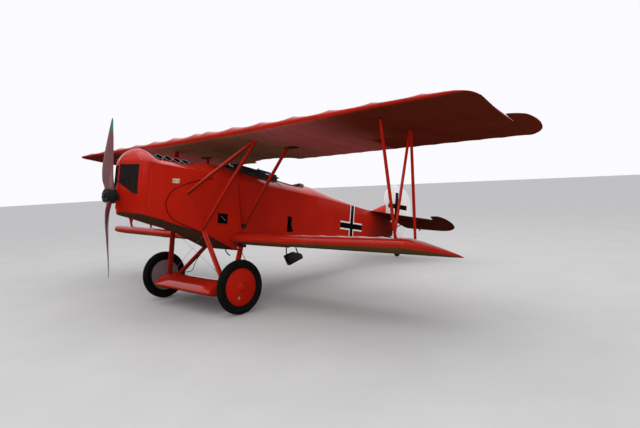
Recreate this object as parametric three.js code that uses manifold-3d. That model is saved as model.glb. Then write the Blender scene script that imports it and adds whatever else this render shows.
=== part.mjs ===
// A single-seat biplane of about 1918, parked on its wheels and tail wheel, in millimetres.
// X is across, the nose points along -Y and Z is up, with the ground at z = 0 and the origin in the
// middle of the footprint. The airframe is drawn level, from the propeller's plane at y = 0 and the
// thrust line at z = 0, and one group then tips it tail down.
import * as THREE from 'three';
import { mergeVertices } from 'three/addons/utils/BufferGeometryUtils.js';
import Module from 'manifold-3d';

const wasm = await Module();
wasm.setup();

// Driving sizes of the whole machine
const SEAT = 0.3;
const MOVING_GAP = 6;
const TAIL_DOWN = THREE.MathUtils.degToRad(10.14);
const AXLE = { y: 1429, z: -1063, radius: 24, halfTrack: 969 };
const WHEEL = { radius: 366, tyre: 49, coverDepth: 58, bore: 25 };
const TAIL_WHEEL = { y: 6475, radius: 122, halfWidth: 27, trail: 70 };

// Wings: leading edge, chord, height of the leading edge, rise of that height per millimetre of span, drop
// from there to the trailing edge where the tip starts and how much less of it there is in the middle, share
// of the thickness in the middle, and where the section starts to thin and the tip starts. As a section
// thins its leading edge lifts, by liftRate for a full loss of thickness and by no more than liftMost.
const UPPER = { lead: 1179, chord: 1600, z: 997, rise: 0, drop: 57, twist: 0, middle: 1, thinFrom: 900,
  straight: 4020, liftRate: 75, liftMost: 28 };
const LOWER = { lead: 1625, chord: 1165, z: -436, rise: 0.0175, drop: 95, twist: 45, middle: 1.15, thinFrom: 0,
  straight: 3300, liftRate: 0, liftMost: 0 };
const RIB_PITCH = 300;
const SCALLOP = 18;
const CUTOUT = { halfWidth: 520, depth: 170 };
// Columns: share of the chord, depth above and depth below the line from leading to trailing edge
const WING_SECTION = [
  [0, 0, 0],
  [0.012, 0.034, 0.026],
  [0.05, 0.062, 0.038],
  [0.14, 0.084, 0.041],
  [0.30, 0.090, 0.036],
  [0.50, 0.074, 0.019],
  [0.72, 0.043, 0.006],
  [0.90, 0.014, 0.002],
  [1, 0.002, 0.002],
];
// Columns: distance out, leading edge behind the straight one, trailing edge ahead, share of thickness
const UPPER_TIP = [
  [4020, 0, 0, 0.55],
  [4120, 6, 0, 0.44],
  [4190, 28, 0, 0.27],
  [4226, 48, 0, 0.16],
  [4240, 64, 939, 0.13],
  [4262, 100, 1150, 0.10],
  [4280, 160, 1330, 0.06],
];
const LOWER_TIP = [
  [3300, 0, 0, 1],
  [3365, 30, 0, 0.92],
  [3415, 120, 0, 0.80],
  [3455, 300, 0, 0.62],
  [3487, 560, 10, 0.42],
  [3510, 860, 40, 0.20],
];
const UPPER_TIP_CORNER = 3;
const AILERON = { inner: 2400, y: 2270, z: 990, nose: 43, slope: 0.06, lugs: [2550, 3300, 4050] };
// Columns: distance out, leading edge, trailing edge, half thickness
const AILERON_HORN = [
  [4214, 2310, 2785, 12],
  [4238, 2310, 2783, 12],
  [4240, 2018, 2783, 14],
  [4290, 2025, 2745, 14],
  [4345, 2042, 2690, 12],
  [4390, 2068, 2620, 10],
  [4425, 2100, 2535, 8],
  [4445, 2160, 2450, 6],
  [4457, 2240, 2380, 4],
];

// Body: half width, underside, crease between side and top, and ridge of the top, along y
const SKIN = 14;
const HALF_WIDTH = [[300, 402], [500, 418], [3000, 420], [3700, 372], [4555, 252], [5500, 112], [6230, 20]];
const BELLY = [[300, -214], [490, -245], [780, -305], [1137, -365], [1737, -590], [1800, -592], [1835, -500],
  [2800, -501], [3150, -385], [6230, -100]];
const CREASE = [[300, 464], [855, 464], [5136, 347], [6230, 214]];
const RIDGE = [[300, 674], [380, 655], [461, 604], [1137, 592], [1200, 620], [1300, 660], [1450, 665],
  [1750, 660], [1950, 643], [2150, 620], [2350, 604], [2560, 598], [3420, 606], [3503, 606],
  [4158, 507], [5136, 368], [6230, 222]];
const FULLNESS = [[300, 1.6], [461, 1.25], [1137, 1.3], [2560, 1.5], [3503, 1.5], [5136, 1.6], [6230, 2]];
const BODY_TABLES = [HALF_WIDTH, BELLY, CREASE, RIDGE, FULLNESS];
const JOINTS_Y = { nose: 300, hoodEnd: 1137, panelEnd: 1835, bellyRear: 2210, deckEnd: 2560, cockpitEnd: 3420,
  sternpost: 6230 };
const COCKPIT = { y: 2985, halfLength: 350, halfWidth: 262, rimRadius: 22 };

// Bow-shaped nose, half outline in plan from the middle of the front
const NOSE_PLAN = [[0, 72], [330, 182], [378, 222], [400, 270], [402, 300]];
const RADIATOR = { inner: 20, outer: 330, top: 425, innerBottom: 190, outerBottom: 48, flat: 72, depth: 55 };
const PORTS = { first: 540, pitch: 149, count: 4, x: 150, radius: 52, height: 34 };

// Tail: hinge of the elevator, the tailplane's tilt and the elevator's droop at rest
const TAILPLANE = { y: 6100, z: 243, tilt: THREE.MathUtils.degToRad(-7), half: 15 };
const ELEVATOR = { droop: THREE.MathUtils.degToRad(-19), nose: 14, lugs: [300, 980] };
// Columns: distance out, leading edge and trailing edge from the hinge
const TAILPLANE_ROWS = [[0, -960], [120, -915], [560, -486], [1000, -78], [1062, -40]];
const ELEVATOR_ROWS = [
  [75, -10, 40, 14],
  [150, -12, 145, 14],
  [230, -12, 310, 14],
  [300, -12, 354, 14],
  [700, -12, 392, 14],
  [950, -12, 416, 14],
  [1084, -12, 425, 14],
  [1086, -150, 425, 14],
  [1130, -157, 424, 14],
  [1234, -160, 408, 12],
  [1324, -117, 374, 9],
  [1395, -37, 315, 7],
  [1439, 64, 245, 5],
  [1452, 140, 180, 3],
];
const ELEVATOR_INNER_END = 1084;
const RUDDER = { y: 6256, low: -108, high: 640, nose: 14, half: 13, lugs: [-40, 110, 470] };
const FIN = { front: 5330, topZ: 662, half: 11 };

// Struts, each from a lower to an upper end, for the near side
const STRUT = { chord: 42, thickness: 32 };
// Both ends of the front and rear struts lie inside the wings; the diagonal starts in the front strut
const INTERPLANE = { x: 3104, low: -400, high: 1010, front: [1905, 1436], rear: [2300, 2048],
  diagonalFoot: [1856, -250] };
const CABANE = {
  chord: 54,
  thickness: 40,
  front: [1000, 1485, 950],
  rear: [1000, 2070, 950],
  feet: [[414, 842, 131], [414, 1137, -324]],
  rearFoot: [414, 1835, -227],
};
const LEG = { chord: 84, thickness: 40, frontTop: [392, 1165, -330], rearTop: [400, 1845, -490],
  frontFoot: [700, 1362, -1050], rearFoot: [700, 1515, -1050], plateTop: -1003 };
// Fairing of the axle: y and z along its upper side from the nose back, then along its underside
const AXLE_WING = {
  halfSpan: 720,
  top: [[1125, -1174], [1150, -1130], [1190, -1092], [1240, -1061], [1312, -1025], [1400, -1012], [1500, -1018],
    [1620, -1040], [1755, -1075]],
  under: [[1755, -1079], [1600, -1135], [1450, -1185], [1320, -1215], [1220, -1222], [1155, -1214], [1130, -1200]],
};

// Guns: distance out, height, and places along them from the muzzle back
const GUN = { reach: 125, z: 668, muzzle: 1720, jacket: 1800, receiver: 2210, end: 2630 };
// Propeller: columns are radius, chord, thickness, pitch in degrees, how far the section's middle lies towards
// the leading edge, and how far forward
const PROPELLER = { turn: THREE.MathUtils.degToRad(-9.2), hubRadius: 92, hubFront: -78, hubBack: 52, shaft: 34 };
const BLADE = [
  [0, 120, 90, 50, 0, 0],
  [110, 124, 64, 45, 0, 14],
  [200, 140, 50, 42, 6, 30],
  [330, 150, 40, 39, 10, 34],
  [600, 127, 28, 30, 12, 20],
  [820, 86, 17, 24, 12, 6],
  [930, 56, 11, 21, 8, 2],
  [1010, 34, 8, 20, 2, 0],
  [1048, 14, 5, 19, 0, 0],
];

// Finishes
const RED = { color: 0xa8140c, roughness: 0.35, metalness: 0.0 };
const DARK_RED = { color: 0x6d0f0c, roughness: 0.45, metalness: 0.0 };
const BLACK = { color: 0x131315, roughness: 0.5, metalness: 0.2 };
const STEEL = { color: 0x8d9094, roughness: 0.4, metalness: 0.9 };
const RUBBER = { color: 0x1b1b1c, roughness: 0.85, metalness: 0.0 };
const WOOD = { color: 0x3a1c22, roughness: 0.35, metalness: 0.0 };
const LEATHER = { color: 0x2a1a14, roughness: 0.7, metalness: 0.0 };
const WHITE = { color: 0xe4e2df, roughness: 0.45, metalness: 0.0 };

const airframe = new THREE.Group();

// Closed meshes and solids

function solid(geometry) {
  const bare = geometry.clone();
  bare.deleteAttribute('normal');
  bare.deleteAttribute('uv');
  const merged = mergeVertices(bare, 1e-3);
  return new wasm.Manifold(new wasm.Mesh({
    numProp: 3,
    vertProperties: new Float32Array(merged.attributes.position.array),
    triVerts: new Uint32Array(merged.index.array),
  }));
}

function geometryOf(body) {
  const mesh = body.getMesh();
  const geometry = new THREE.BufferGeometry();
  geometry.setAttribute('position', new THREE.BufferAttribute(new Float32Array(mesh.vertProperties), 3));
  geometry.setIndex(Array.from(mesh.triVerts));
  geometry.computeVertexNormals();
  return geometry;
}

function addPiece(name, body, finish, group = airframe) {
  const mesh = new THREE.Mesh(geometryOf(body), new THREE.MeshStandardMaterial(finish));
  mesh.name = name;
  group.add(mesh);
  return mesh;
}

function sum(bodies) {
  return bodies.reduce((whole, next) => whole.add(next));
}

function mirrored(body) {
  return body.mirror([1, 0, 0]);
}

function sides(name, body, finish, group = airframe) {
  addPiece(`${name}_left`, body, finish, group);
  addPiece(`${name}_right`, mirrored(body), finish, group);
}

function value(table, at) {
  if (at <= table[0][0]) return table[0][1];
  for (let i = 1; i < table.length; i += 1) {
    const [x0, v0] = table[i - 1];
    const [x1, v1] = table[i];
    if (at <= x1) return v0 + (v1 - v0) * (at - x0) / (x1 - x0);
  }
  return table[table.length - 1][1];
}

function flatTriangles(ring) {
  const normal = new THREE.Vector3();
  ring.forEach((p, i) => {
    const q = ring[(i + 1) % ring.length];
    normal.x += (p[1] - q[1]) * (p[2] + q[2]);
    normal.y += (p[2] - q[2]) * (p[0] + q[0]);
    normal.z += (p[0] - q[0]) * (p[1] + q[1]);
  });
  const drop = ['x', 'y', 'z'].reduce((a, b) => (Math.abs(normal[a]) >= Math.abs(normal[b]) ? a : b));
  const keep = { x: [1, 2], y: [0, 2], z: [0, 1] }[drop];
  const flat = ring.map((p) => new THREE.Vector2(p[keep[0]], p[keep[1]]));
  const turn = Math.sign(THREE.ShapeUtils.area(flat));
  return THREE.ShapeUtils.triangulateShape(flat, []).map(([a, b, c]) => (
    Math.sign(THREE.ShapeUtils.area([flat[a], flat[b], flat[c]])) === turn ? [a, b, c] : [a, c, b]));
}

// Skins a list of rings, each a list of [x, y, z] points, and closes it with flat ends or into a loop
function loft(rings, looped = false) {
  const count = rings[0].length;
  const spans = looped ? rings.length : rings.length - 1;
  const faces = [];
  for (let i = 0; i < spans; i += 1) {
    const a = i * count;
    const b = ((i + 1) % rings.length) * count;
    for (let j = 0; j < count; j += 1) {
      const k = (j + 1) % count;
      faces.push(a + j, a + k, b + k, a + j, b + k, b + j);
    }
  }
  if (!looped) {
    const end = (rings.length - 1) * count;
    flatTriangles(rings[0]).forEach(([a, b, c]) => faces.push(a, c, b));
    flatTriangles(rings[rings.length - 1]).forEach(([a, b, c]) => faces.push(end + a, end + b, end + c));
  }
  const geometry = new THREE.BufferGeometry();
  geometry.setAttribute('position', new THREE.Float32BufferAttribute(rings.flat(2), 3));
  geometry.setIndex(faces);
  const body = solid(geometry);
  if (body.volume() > 0) return body;
  for (let i = 0; i < faces.length; i += 3) [faces[i], faces[i + 1]] = [faces[i + 1], faces[i]];
  geometry.setIndex(faces);
  return solid(geometry);
}

function box(x0, x1, y0, y1, z0, z1) {
  const geometry = new THREE.BoxGeometry(x1 - x0, y1 - y0, z1 - z0);
  geometry.translate((x0 + x1) / 2, (y0 + y1) / 2, (z0 + z1) / 2);
  return solid(geometry);
}

// A bar of oval section between two points, its long axis towards the tail
function bar(from, to, chord, thickness, facets = 10) {
  const a = new THREE.Vector3(...from);
  const b = new THREE.Vector3(...to);
  const along = b.clone().sub(a);
  const length = along.length();
  along.normalize();
  const aft = Math.abs(along.y) > 0.95 ? new THREE.Vector3(0, 0, 1) : new THREE.Vector3(0, 1, 0);
  const across = new THREE.Vector3().crossVectors(aft, along).normalize();
  const deep = new THREE.Vector3().crossVectors(across, along);
  const geometry = new THREE.CylinderGeometry(0.5, 0.5, length, facets);
  geometry.scale(thickness, 1, chord);
  geometry.applyMatrix4(new THREE.Matrix4().makeBasis(across, along, deep));
  geometry.translate((a.x + b.x) / 2, (a.y + b.y) / 2, (a.z + b.z) / 2);
  return solid(geometry);
}

function rod(from, to, radius, facets = 10) {
  return bar(from, to, 2 * radius, 2 * radius, facets);
}

// Turns a profile of [radius, place along x] pairs about the X axis through y, z, a corner to the ground
function turned(profile, y, z, facets = 36) {
  const points = profile.map(([r, along]) => new THREE.Vector2(r, along));
  const geometry = new THREE.LatheGeometry(points, facets);
  geometry.rotateZ(-Math.PI / 2);
  geometry.rotateX(TAIL_DOWN);
  geometry.translate(0, y, z);
  return solid(geometry);
}

// Extrudes an outline given in the plane across x, from -half to half
function plate(shape, half, bevel = 0) {
  const depth = 2 * (half - bevel);
  const geometry = new THREE.ExtrudeGeometry(shape, {
    depth, curveSegments: 8, bevelEnabled: bevel > 0, bevelThickness: bevel, bevelSize: bevel, bevelOffset: -bevel,
    bevelSegments: 1,
  });
  geometry.translate(0, 0, -depth / 2);
  geometry.applyMatrix4(new THREE.Matrix4().makeBasis(
    new THREE.Vector3(0, 1, 0), new THREE.Vector3(0, 0, 1), new THREE.Vector3(1, 0, 0)));
  return solid(geometry);
}

function polygon(points) {
  return new THREE.Shape(points.map(([u, v]) => new THREE.Vector2(u, v)));
}

// Wings

// Height of the line from leading to trailing edge of a wing, x out and y back
function chordHeight(wing, x, y, share) {
  const lift = Math.min(wing.liftMost, wing.liftRate * (1 - share));
  const nose = wing.z + wing.rise * Math.abs(x) + lift;
  const drop = wing.drop - wing.twist * Math.max(0, 1 - Math.abs(x) / wing.straight);
  const tail = nose - lift * 0.5 - drop;
  return nose + (tail - nose) * (y - wing.lead) / wing.chord;
}

function wingRing(wing, x, leadBack, trailAhead, share, grow) {
  const lead = wing.lead + leadBack;
  const chord = wing.chord - leadBack - trailAhead;
  const depth = wing.chord * share;
  const point = (s, rise, edge) => {
    const y = lead + s * chord;
    return [x, y + edge, chordHeight(wing, x, y, share) + rise];
  };
  const upper = WING_SECTION.map(([s, top]) => (s === 0 ? point(s, 0, -grow) : point(s, top * depth + grow, 0)));
  const lower = WING_SECTION.slice(1).reverse()
    .map(([s, , under]) => point(s, -under * depth - grow, s === 1 ? grow : 0));
  return upper.concat(lower);
}

// The rounded notch in the trailing edge of the upper wing's middle
function cutoutDepth(x) {
  const share = Math.abs(x) / CUTOUT.halfWidth;
  return share >= 1 ? 0 : CUTOUT.depth * Math.sqrt(1 - share ** 2);
}

// Half of a wing's rows: distance out, leading edge back, trailing edge ahead, share of thickness
function wingRows(wing, tip, notch) {
  const rows = [];
  for (let x = 0; x < wing.straight; x += RIB_PITCH / 2) {
    const between = (x / RIB_PITCH) % 1 !== 0;
    const fade = Math.max(0, x - wing.thinFrom) / (wing.straight - wing.thinFrom);
    const share = wing.middle + (tip[0][3] - wing.middle) * fade;
    rows.push([x, 0, notch(x) + (between ? SCALLOP : 0), share]);
  }
  return rows.concat(tip);
}

function wingBlank(wing, tip, notch = () => 0, grow = 0) {
  const rows = wingRows(wing, tip, notch);
  const whole = rows.slice(1).reverse().map(([x, ...rest]) => [-x, ...rest]).concat(rows);
  return loft(whole.map(([x, back, ahead, share]) => wingRing(wing, x, back, ahead, share, grow)));
}

function circleRing(x, y, z, radius, facets = 12) {
  return Array.from({ length: facets }, (_, i) => {
    const turn = 2 * Math.PI * i / facets;
    return [x, y + radius * Math.cos(turn), z + radius * Math.sin(turn)];
  });
}

// A lug reaches from the fixed piece to the hinge's axis and takes a pin of the moving piece
function hingeParts(at, size) {
  const [x, y, z] = at;
  const hole = rod([x - 2 * size.lug, y, z], [x + 2 * size.lug, y, z], size.pin + 0.8, 8);
  const lug = box(x - size.lug, x + size.lug, y - size.reach, y, z - size.eye, z + size.eye)
    .add(rod([x - size.lug, y, z], [x + size.lug, y, z], size.eye, 12)).subtract(hole);
  const slot = box(x - size.lug - MOVING_GAP, x + size.lug + MOVING_GAP, y - size.deep, y + size.back,
    z - size.deep, z + size.deep);
  const pin = rod([x - size.lug - MOVING_GAP - 2, y, z], [x + size.lug + MOVING_GAP + 2, y, z], size.pin, 8);
  return { lug, slot, pin };
}

function hinged(fixed, moving, places, size) {
  places.forEach((at) => {
    const parts = hingeParts(at, size);
    fixed = fixed.add(parts.lug);
    moving = moving.subtract(parts.slot).add(parts.pin);
  });
  return [fixed, moving];
}

function upperShare(x) {
  return value([[UPPER.thinFrom, 1], ...UPPER_TIP.map((row) => [row[0], row[3]])], x);
}

function aileronNose(from, to, grow) {
  const stations = [from, UPPER.straight, to];
  return loft(stations.map((x) => circleRing(x, AILERON.y, AILERON.z, AILERON.nose * upperShare(x) + grow)));
}

function hornRing([x, lead, trail, half]) {
  const nose = Math.min(90, (trail - lead) / 3);
  const outline = [[lead, 0], [lead + nose, half], [trail - 2 * nose, half * 0.8], [trail, 2], [trail, -2],
    [trail - 2 * nose, -half * 0.8], [lead + nose, -half]];
  return outline.map(([y, rise]) => [x, y, AILERON.z - AILERON.slope * (y - AILERON.y) + rise]);
}

function upperWing() {
  const blank = wingBlank(UPPER, UPPER_TIP, cutoutDepth);
  const tipX = UPPER_TIP[UPPER_TIP_CORNER][0];
  const flapRoom = box(AILERON.inner - MOVING_GAP, tipX + 50, AILERON.y, UPPER.lead + UPPER.chord + 50,
    UPPER.z - 200, UPPER.z + 200);
  const bay = flapRoom.add(aileronNose(AILERON.inner - MOVING_GAP, tipX + 50, 13));
  const flap = box(AILERON.inner, tipX - 6, AILERON.y, UPPER.lead + UPPER.chord + 50, UPPER.z - 200,
    UPPER.z + 200);
  let aileron = blank.intersect(flap).add(aileronNose(AILERON.inner, tipX - 30, 0))
    .add(loft(AILERON_HORN.map(hornRing)));
  let wing = blank.subtract(bay);
  const size = { lug: 5, reach: 62, eye: 13, pin: 4, deep: 60, back: 28 };
  [wing, aileron] = hinged(wing, aileron, AILERON.lugs.map((x) => [x, AILERON.y, AILERON.z]), size);
  const farSide = mirrored(wing).intersect(box(-5000, 0, 0, 4000, 500, 1500));
  wing = wing.intersect(box(0, 5000, 0, 4000, 500, 1500)).add(farSide);
  addPiece('upper_wing', wing, RED);
  sides('aileron', aileron, RED);
}

function lowerWing() {
  addPiece('lower_wing', wingBlank(LOWER, LOWER_TIP), RED);
}

// Body

function archPoints(y, grow = 0, count = 8) {
  const width = value(HALF_WIDTH, y) + grow;
  const foot = value(CREASE, y);
  const height = value(RIDGE, y) - foot + grow;
  const power = 2 / value(FULLNESS, y);
  return Array.from({ length: count + 1 }, (_, i) => {
    const turn = Math.PI * i / count;
    const c = Math.cos(turn);
    return [width * Math.sign(c) * Math.abs(c) ** power, y, foot + height * Math.abs(Math.sin(turn)) ** power];
  });
}

function stationsBetween(from, to, tables) {
  const inside = new Set(tables.flatMap((table) => table.map(([y]) => y)).filter((y) => y > from && y < to));
  return [from, ...[...inside].sort((a, b) => a - b), to];
}

function bodyRing(y, grow) {
  const width = value(HALF_WIDTH, y) + grow;
  const low = value(BELLY, y) - grow;
  return [[-width, y, low], [width, y, low], ...archPoints(y, grow)];
}

function bodyBlank(from, to, grow = 0) {
  return loft(stationsBetween(from, to, BODY_TABLES).map((y) => bodyRing(y, grow)));
}

function sideWall(from, to) {
  return loft(stationsBetween(from, to, BODY_TABLES).map((y) => {
    const out = value(HALF_WIDTH, y);
    const low = value(BELLY, y) + SKIN + SEAT;
    const high = value(CREASE, y) - SEAT;
    return [[out - SKIN, y, low], [out, y, low], [out, y, high], [out - SKIN, y, high]];
  }));
}

function bellyPlate(from, to) {
  return loft(stationsBetween(from, to, BODY_TABLES).map((y) => {
    const width = value(HALF_WIDTH, y);
    const low = value(BELLY, y);
    return [[-width, y, low], [width, y, low], [width, y, low + SKIN], [-width, y, low + SKIN]];
  }));
}

function topSkin(from, to) {
  return loft(stationsBetween(from, to, BODY_TABLES).map((y) => (
    archPoints(y).concat(archPoints(y, -SKIN).reverse()))));
}

function noseCowl() {
  const plan = NOSE_PLAN.concat([...NOSE_PLAN].reverse().slice(0, -1).map(([x, y]) => [-x, y]));
  const planGeometry = new THREE.ExtrudeGeometry(polygon(plan), { depth: 1000, bevelEnabled: false });
  planGeometry.translate(0, 0, -400);
  const profile = plate(polygon([[30, -60], [58, -126], [106, -172], [301, -214], [301, 464], [30, 464]]), 450);
  const lower = solid(planGeometry).intersect(profile);
  const domeRows = [[74, 20, 470], [110, 115, 545], [150, 235, 592], [182, 330, 622], [222, 378, 650],
    [270, 400, 668], [299.9, 402, 674]];
  const dome = loft(domeRows.map(([y, half, top]) => Array.from({ length: 9 }, (_, i) => {
    const turn = Math.PI * i / 8;
    const c = Math.cos(turn);
    const power = 2 / 1.6;
    return [half * Math.sign(c) * Math.abs(c) ** power, y, 463 + (top - 463) * Math.abs(Math.sin(turn)) ** power];
  })));
  const pocket = radiatorPocket(0);
  const bore = rod([0, 0, 0], [0, 400, 0], PROPELLER.shaft + 8, 16);
  addPiece('nose_cowl', lower.add(dome).subtract(pocket).subtract(mirrored(pocket)).subtract(bore), RED);
}

function frontAt(x) {
  return value(NOSE_PLAN, x);
}

// The opening's prism, from in front of the bow to its depth behind it, with its floor along the bow
function radiatorPocket(shrink) {
  const r = RADIATOR;
  const inner = r.inner + shrink;
  const outer = r.outer - shrink;
  const mid = outer - r.flat;
  const outline = [[inner, r.innerBottom + shrink], [mid, r.outerBottom + shrink], [outer, r.outerBottom + shrink],
    [outer, r.top - shrink], [inner, r.top - shrink]];
  const back = shrink > 0 ? 0.3 : 0;
  const near = (x) => (shrink > 0 ? frontAt(x) + 22 : frontAt(x) - 80);
  return loft([
    outline.map(([x, z]) => [x, near(x), z]),
    outline.map(([x, z]) => [x, frontAt(x) + r.depth - back, z]),
  ]);
}

function radiatorCores() {
  sides('radiator_core', radiatorPocket(SEAT), BLACK);
}

function engineHood() {
  let hood = topSkin(JOINTS_Y.nose + SEAT, JOINTS_Y.hoodEnd);
  for (let i = 0; i < PORTS.count; i += 1) {
    const y = PORTS.first + i * PORTS.pitch;
    const z = value(RIDGE, y);
    const port = rod([PORTS.x - 12, y, z - 46], [PORTS.x + 16, y, z + 8], PORTS.radius, 14);
    hood = hood.add(port);
  }
  addPiece('engine_hood', hood, RED);
}

function body() {
  const wingRoom = wingBlank(LOWER, LOWER_TIP, () => 0, SEAT);
  const forward = sideWall(JOINTS_Y.nose + SEAT, JOINTS_Y.panelEnd - SEAT).subtract(wingRoom);
  sides('engine_panel', forward, RED);
  const cockpitWall = sideWall(JOINTS_Y.panelEnd, JOINTS_Y.cockpitEnd - SEAT).subtract(wingRoom)
    .subtract(box(300, 500, 2722, 2800, -250, -20));
  sides('cockpit_wall', largest(cockpitWall), RED);
  const chin = bellyPlate(JOINTS_Y.nose + SEAT, JOINTS_Y.panelEnd - SEAT);
  addPiece('belly_front', chin.subtract(wingRoom), RED);
  addPiece('belly_rear', bellyPlate(JOINTS_Y.bellyRear, JOINTS_Y.cockpitEnd - SEAT).subtract(wingRoom), RED);
  addPiece('gun_deck', topSkin(JOINTS_Y.hoodEnd + SEAT, JOINTS_Y.deckEnd), RED);
  coaming();
  rearBody();
}

function coaming() {
  const round = new THREE.Shape();
  round.absellipse(0, COCKPIT.y, COCKPIT.halfWidth, COCKPIT.halfLength, 0, 2 * Math.PI);
  const hole = new THREE.ExtrudeGeometry(round, { depth: 900, bevelEnabled: false, curveSegments: 14 });
  hole.translate(0, 0, 100);
  const skin = topSkin(JOINTS_Y.deckEnd + SEAT, JOINTS_Y.cockpitEnd - SEAT);
  addPiece('cockpit_coaming', skin.subtract(solid(hole)), RED);
  const steps = 28;
  const rim = Array.from({ length: steps }, (_, i) => {
    const turn = 2 * Math.PI * i / steps;
    const x = (COCKPIT.halfWidth - 2) * Math.cos(turn);
    const y = COCKPIT.y + (COCKPIT.halfLength - 2) * Math.sin(turn);
    const z = topHeight(Math.abs(x), y) + 14;
    const out = new THREE.Vector3(Math.cos(turn) * COCKPIT.halfLength, Math.sin(turn) * COCKPIT.halfWidth, 0)
      .normalize();
    return Array.from({ length: 8 }, (_, j) => {
      const around = 2 * Math.PI * j / 8;
      const wide = COCKPIT.rimRadius * Math.cos(around);
      return [x + out.x * wide, y + out.y * wide, z + COCKPIT.rimRadius * Math.sin(around)];
    });
  });
  const under = bodyBlank(JOINTS_Y.deckEnd, JOINTS_Y.cockpitEnd + 80, SEAT);
  addPiece('cockpit_rim', loft(rim, true).subtract(under.intersect(rimShadow())), LEATHER);
}

// Keeps the part of the body's volume that lies outside the cockpit's opening
function rimShadow() {
  const round = new THREE.Shape();
  round.absellipse(0, COCKPIT.y, COCKPIT.halfWidth - SEAT, COCKPIT.halfLength - SEAT, 0, 2 * Math.PI);
  const hole = new THREE.ExtrudeGeometry(round, { depth: 900, bevelEnabled: false, curveSegments: 14 });
  hole.translate(0, 0, 100);
  return box(-500, 500, 2500, 3520, 200, 800).subtract(solid(hole));
}

function topHeight(x, y) {
  const width = value(HALF_WIDTH, y);
  const foot = value(CREASE, y);
  const full = value(FULLNESS, y);
  const share = Math.min(1, x / width);
  return foot + (value(RIDGE, y) - foot) * (1 - share ** full) ** (1 / full);
}

function rearBody() {
  const sternBore = rod([-200, TAILPLANE.y, TAILPLANE.z], [200, TAILPLANE.y, TAILPLANE.z],
    ELEVATOR.nose + MOVING_GAP, 14);
  let hull = bodyBlank(JOINTS_Y.cockpitEnd, JOINTS_Y.sternpost)
    .subtract(placedTailplane(SEAT)).subtract(sternBore)
    .subtract(box(-300, 300, TAILPLANE.y, TAILPLANE.y + 150, TAILPLANE.z - 4, TAILPLANE.z + 200));
  addPiece('rear_body', hull, RED);
}

// Tail

function tailplaneBody(grow) {
  const half = TAILPLANE.half + grow;
  const rows = TAILPLANE_ROWS.slice(1).reverse().map(([x, lead]) => [-x, lead]).concat(TAILPLANE_ROWS);
  const trail = -ELEVATOR.nose - MOVING_GAP + grow;
  return loft(rows.map(([x, lead]) => {
    const tall = Math.abs(x) > 1000 ? half * 0.6 : half;
    const nose = Math.min(60, (trail - lead) * 0.4);
    return [[x, lead - grow, 0], [x, lead + nose, tall], [x, trail, tall], [x, trail, -tall],
      [x, lead + nose, -tall]];
  }));
}

function tilted(body, angle) {
  return body.rotate([THREE.MathUtils.radToDeg(angle), 0, 0]).translate([0, TAILPLANE.y, TAILPLANE.z]);
}

function placedTailplane(grow) {
  return tilted(tailplaneBody(grow), TAILPLANE.tilt);
}

function elevatorHalf() {
  const panel = loft(ELEVATOR_ROWS.map(([x, lead, trail, half]) => {
    const nose = Math.min(40, (trail - lead) / 3);
    return [[x, lead, 0], [x, lead + nose, half], [x, (lead + trail) / 2, half * 0.8], [x, trail, 2], [x, trail, -2],
      [x, (lead + trail) / 2, -half * 0.8], [x, lead + nose, -half]];
  }));
  const mast = plate(polygon([[-16, -230], [16, -230], [34, 0], [24, 105], [2, 105], [-10, 0]]), 5)
    .translate([820, 26, 0]);
  return panel.add(mast);
}

function tailSurfaces() {
  const half = elevatorHalf();
  const reach = ELEVATOR_INNER_END;
  const tube = rod([-reach, 0, 0], [reach, 0, 0], ELEVATOR.nose, 12);
  let elevator = half.add(mirrored(half)).add(tube);
  elevator = elevator.rotate([THREE.MathUtils.radToDeg(ELEVATOR.droop), 0, 0]);
  let plane = tailplaneBody(0);
  const size = { lug: 4, reach: 30, eye: 8, pin: 3, deep: 22, back: 22 };
  const places = ELEVATOR.lugs.flatMap((x) => [[x, 0, 0], [-x, 0, 0]]);
  [plane, elevator] = hinged(plane, elevator, places, size);
  addPiece('tailplane', tilted(plane, TAILPLANE.tilt), DARK_RED);
  addPiece('elevator', tilted(elevator, TAILPLANE.tilt), DARK_RED);
}

function rudderOutline() {
  const shape = new THREE.Shape();
  shape.moveTo(RUDDER.y, RUDDER.low);
  shape.lineTo(RUDDER.y, FIN.topZ + 24);
  shape.lineTo(5892, 566);
  shape.bezierCurveTo(5830, 760, 5980, 1018, 6330, 1020);
  shape.bezierCurveTo(6650, 1022, 6925, 800, 6928, 460);
  shape.bezierCurveTo(6930, 180, 6760, -95, 6540, -112);
  shape.lineTo(RUDDER.y, RUDDER.low);
  return shape;
}

function upright(parts) {
  return parts.rotate([0, 90, 0]);
}

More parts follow.
